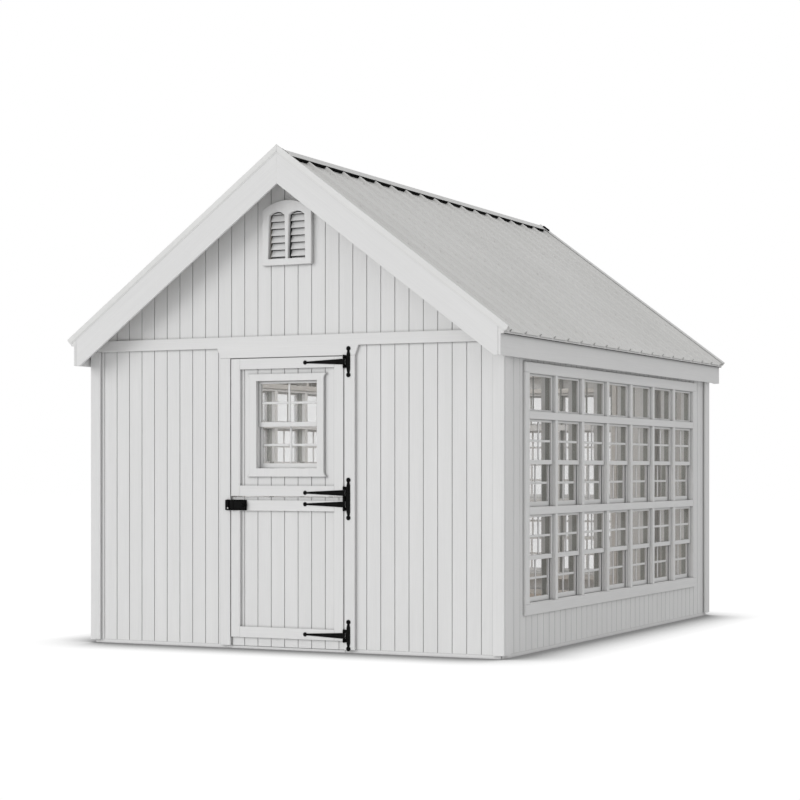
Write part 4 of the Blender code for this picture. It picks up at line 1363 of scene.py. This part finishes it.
def strapHinge(name, body):
    height = middleOf(name)
    axis = iron["axis"]
    high = ironSpan[1]
    bag = Bag(places["front"], 71)
    wide, narrow = iron["wide"] / 2, iron["narrow"] / 2
    tip = axis - iron["length"] + iron["ball"] + 0.001
    reach = math.degrees(math.asin(narrow * 0.8 / iron["ball"]))
    outline = [(axis - 0.004, height + wide), (axis - 0.020, height + wide * 0.96)]
    outline += arc((tip, height), iron["ball"], reach, 360 - reach, 20)
    outline += [(axis - 0.020, height - wide * 0.96), (axis - 0.004, height - wide)]
    bag.prism(outline, *ironSpan, 0.0009, (1, 0))
    # A raised spine to the tip and a low dome on the ball
    root, end = axis - 0.010, tip + 0.012
    spine = [(end, height - narrow * 0.30), (end, height + narrow * 0.30)]
    spine += [(root, height + wide * 0.30), (root, height - wide * 0.30)]
    bag.prism(spine, high - 0.0005, high + 0.0008, 0.0007, (1, 0))
    screwHead(bag, tip, height, high, iron["endScrew"])
    for share, drop in ((0.10, 0.30), (0.10, -0.30), (0.38, 0.0), (0.66, 0.0)):
        screwHead(bag, axis - 0.03 - share * 0.24, height + drop * 2 * wide * 0.8, high)
    roundBar(bag, iron["barrel"], height - wide, height + wide)
    bag.emit(name + "_hinge", ironPaint, "iron", [name], body)


def hingePlate(name, straps, longer):
    # The fixed plate beside the door, with a knuckle over and under each strap's own
    boxLow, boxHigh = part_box(name)
    axis, barrel = iron["axis"], iron["barrel"]
    knuckle = iron["knuckleHalf"]
    bag = Bag(places["front"], 73)
    middle = axis + iron["plateOut"]
    half = iron["plateWide"] / 2
    ball = iron["plateBall"]
    reach = math.degrees(math.asin(half * iron["neck"] / ball))
    topEnd, lowEnd = boxHigh.z - 0.014 + longer[0], boxLow.z + 0.014 - longer[1]
    top, low = topEnd - iron["plateEnd"], lowEnd + iron["plateEnd"]
    outline = [(middle + half, low), (middle + half, top)]
    outline += arc((middle, topEnd), ball, -90 + reach, 270 - reach, 20)
    outline += [(middle - half, top), (middle - half, low)]
    outline += arc((middle, lowEnd), ball, 90 + reach, 450 - reach, 20)
    bag.prism(outline, *ironSpan, 0.0009, (0, 1))
    screwHead(bag, middle, topEnd, ironSpan[1], iron["endScrew"])
    screwHead(bag, middle, lowEnd, ironSpan[1], iron["endScrew"])
    edge = middle - half + 0.001
    for height in straps:
        for side in (-1, 1):
            z = height + side * iron["knuckle"]
            roundBar(bag, barrel, z - knuckle, z + knuckle)
            bag.board(axis, edge, z - knuckle, z + knuckle, *ironSpan, 0.0008)
            screwHead(bag, middle, height + side * iron["screwAside"], ironSpan[1])
        roundBar(bag, iron["pinThin"], height - iron["pinHalf"], height + iron["pinHalf"])
        low, high = height - iron["strapHalf"], height + iron["strapHalf"]
        bag.board(axis + barrel + 0.0012, edge, low, high, *ironSpan, 0.0008)
    if len(straps) > 1:
        # The barrel runs on between the two straps
        low, high = straps[1] + iron["runOn"], straps[0] - iron["runOn"]
        if high - low > 0.004:
            roundBar(bag, barrel, low, high)
            bag.board(axis + 0.001, edge, low, high, *ironSpan, 0.0008)
    bag.emit(name + "_hinge", ironPaint, "iron", [name])


for name in ("strap_top", "strap_upper_middle"):
    strapHinge(name, "upper_door")
for name in ("strap_lower_middle", "strap_bottom"):
    strapHinge(name, "lower_door")
hingePlate("hinge_plate_top", [middleOf("strap_top")], (0.003, 0.017))
middles = [middleOf("strap_upper_middle"), middleOf("strap_lower_middle")]
hingePlate("hinge_plate_middle", middles, (0.003, 0.0165))
hingePlate("hinge_plate_bottom", [middleOf("strap_bottom")], (0.009, 0.013))

latch = {
    "middle": 0.9597,
    "half": 0.0358,
    "length": 0.122,
    # Left, right, lower and upper edge, back and front, cut of the edges
    "housing": (0.004, 0.116, -0.027, 0.027, 0.003, 0.019, 0.004),
    "leftBand": (0.001, 0.030, -0.033, 0.033, 0.003, 0.0225, 0.003),
    "rightBand": (0.086, 0.120, -0.033, 0.033, 0.003, 0.0215, 0.003),
    "bolt": (0.119, 0.1285, -0.007, 0.005, 0.007, 0.017, 0.002),
}


def latchPieces():
    left, middle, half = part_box("door_latch")[0].x, latch["middle"], latch["half"]
    right = left + latch["length"]
    bottom, top = middle - half, middle + half
    low, high = ironSpan
    bag = Bag(places["front"], 75)
    bag.board(left, right, bottom, top, low, high, 0.0015)
    for part in ("housing", "leftBand", "rightBand", "bolt"):
        one, two, under, over, back, front, cut = latch[part]
        bag.board(left + one, left + two, middle + under, middle + over, low + back, low + front, cut)
    # The bolt's knob on its stem
    spot = (right - 0.018, middle)
    bag.prism(arc(spot, 0.0055, 0, 345, 23), low + 0.021, low + 0.030, 0.0006)
    bag.prism(arc(spot, 0.0115, 0, 350, 35), low + 0.0285, low + 0.0378, 0.0028)
    for u in (left + 0.008, right - 0.006):
        for v in (bottom + 0.006, top - 0.006):
            screwHead(bag, u, v, high, 0.0034)
    bag.emit("latch_case", ironPaint, "iron", ["door_latch"], "lower_door")
    boxLow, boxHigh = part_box("latch_keeper")
    left, right = boxLow.x, boxHigh.x
    bag = Bag(places["front"], 76)
    bag.board(left, right, bottom, top, low, high, 0.0012)
    bag.board(left + 0.001, right - 0.0005, middle - 0.034, middle + 0.034, high, low + 0.0225, 0.003)
    for v in (bottom + 0.004, top - 0.004):
        screwHead(bag, (left + right) / 2, v, high, 0.0030)
    bag.emit("keeper_case", ironPaint, "iron", ["latch_keeper"])
    screws = Bag(places["front"], 77)
    screwHead(screws, right - 0.006, middle - 0.021, low + 0.0225, 0.0055)
    screws.emit("keeper_screw", screwMetal, "iron")


latchPieces()
print("ironwork made")

# The floor frame and its boards keep their shape from model.glb, and so do the roof decks
for name in ("left_roof_deck", "right_roof_deck"):
    nodes[name].data.materials.clear()
    nodes[name].data.materials.append(deckTimber)
deck = nodes["floor_deck"].data
deck.materials.clear()
deck.materials.append(boardsPaint)
deck.materials.append(floorBoard)
for face in deck.polygons:
    face.material_index = 1 if face.normal.z > 0.5 else 0

# Floor, lights and camera
stage = {
    "ground": 60,
    "groundLevel": -0.001,
    "shadeReach": 0.54,
    "shadeFrom": 0.55,
    "shadeTo": 0.97,
    "shadeDark": 0.22,
    "shadeLight": 1.02,
    "sky": 0.582,
    "sun": 1.02,
    "sunAngle": 40.0,
    "sunFrom": (-0.62, -0.74, 0.28),
    "fill": 0.21,
    "fillAngle": 70.0,
    "fillFrom": (0.35, -0.10, 0.93),
    "lamp": 34.0,
    "lampWide": 0.9,
    "lampLong": 3.6,
    "lampAt": (0, 0, 2.75),
}


def stageFloor():
    mesh = bpy.data.meshes.new("ground")
    size, level = stage["ground"], stage["groundLevel"]
    mesh.from_pydata([(x, y, level) for x, y in rect(-size, size, -size, size)], [], [(0, 1, 2, 3)])
    made, tree, shader = nodeMaterial("ground_white")
    shader.inputs["Base Color"].default_value = (0.90, 0.90, 0.90, 1)
    shader.inputs["Roughness"].default_value = 0.9
    shader.inputs["Specular IOR Level"].default_value = 0.0
    # What the camera sees of it: white, with the soft shade that gathers at the foot of the walls
    shade = addNode(tree, "ShaderNodeAmbientOcclusion", {"Distance": stage["shadeReach"]}, samples=16)
    levels = (stage["shadeDark"], stage["shadeLight"], stage["shadeFrom"], stage["shadeTo"])
    white = addNode(tree, "ShaderNodeEmission")
    tree.links.new(spread(tree, shade.outputs["AO"], *levels), white.inputs["Strength"])
    ray = addNode(tree, "ShaderNodeLightPath")
    blend = addNode(tree, "ShaderNodeMixShader")
    tree.links.new(ray.outputs["Is Camera Ray"], blend.inputs["Fac"])
    tree.links.new(shader.outputs["BSDF"], blend.inputs[1])
    tree.links.new(white.outputs["Emission"], blend.inputs[2])
    tree.links.new(blend.outputs["Shader"], tree.nodes["Material Output"].inputs["Surface"])
    obj = linked("ground", mesh, made)


stageFloor()

world = bpy.data.worlds.new("studio")
bpy.context.scene.world = world
world.use_nodes = True
tree = world.node_tree
background = tree.nodes["Background"]
background.inputs["Color"].default_value = (1, 1, 1, 1)
ray = addNode(tree, "ShaderNodeLightPath")
seen = spread(tree, ray.outputs["Is Camera Ray"], stage["sky"], 1.0, 0.0, 1.0)
tree.links.new(seen, background.inputs["Strength"])


def sunLight(name, strength, angle, origin):
    light = bpy.data.lights.new(name, "SUN")
    light.energy = strength
    light.angle = math.radians(angle)
    linked(name, light).rotation_euler = Vector(origin).to_track_quat("Z", "Y").to_euler()


sunLight("key", stage["sun"], stage["sunAngle"], stage["sunFrom"])
sunLight("fill", stage["fill"], stage["fillAngle"], stage["fillFrom"])

# A wide soft lamp under the ridge for the room behind the windows
lamp = bpy.data.lights.new("room_lamp", "AREA")
lamp.shape = "RECTANGLE"
lamp.size = stage["lampWide"]
lamp.size_y = stage["lampLong"]
lamp.energy = stage["lamp"]
room = linked("room_lamp", lamp)
room.location = stage["lampAt"]
room.visible_camera = False

view = {
    "focal": 2005.6,
    "yaw": -0.4329,
    "at": (6.4793, -13.7715, 1.1947),
    "middle": (440.0, 469.3),
    "size": 800,
    "sensor": 36,
}
camera = bpy.data.cameras.new("camera")
camera.sensor_width = view["sensor"]
camera.lens = view["sensor"] * view["focal"] / view["size"]
camera.shift_x = (view["size"] / 2 - 0.5 - view["middle"][0]) / view["size"]
camera.shift_y = (view["middle"][1] - view["size"] / 2 + 0.5) / view["size"]
camera.clip_end = 200
eye = linked("camera", camera)
eye.location = view["at"]
eye.rotation_euler = (math.radians(90), 0, -view["yaw"])
bpy.context.scene.camera = eye
bpy.context.scene.view_settings.view_transform = "Standard"
print("stage made")
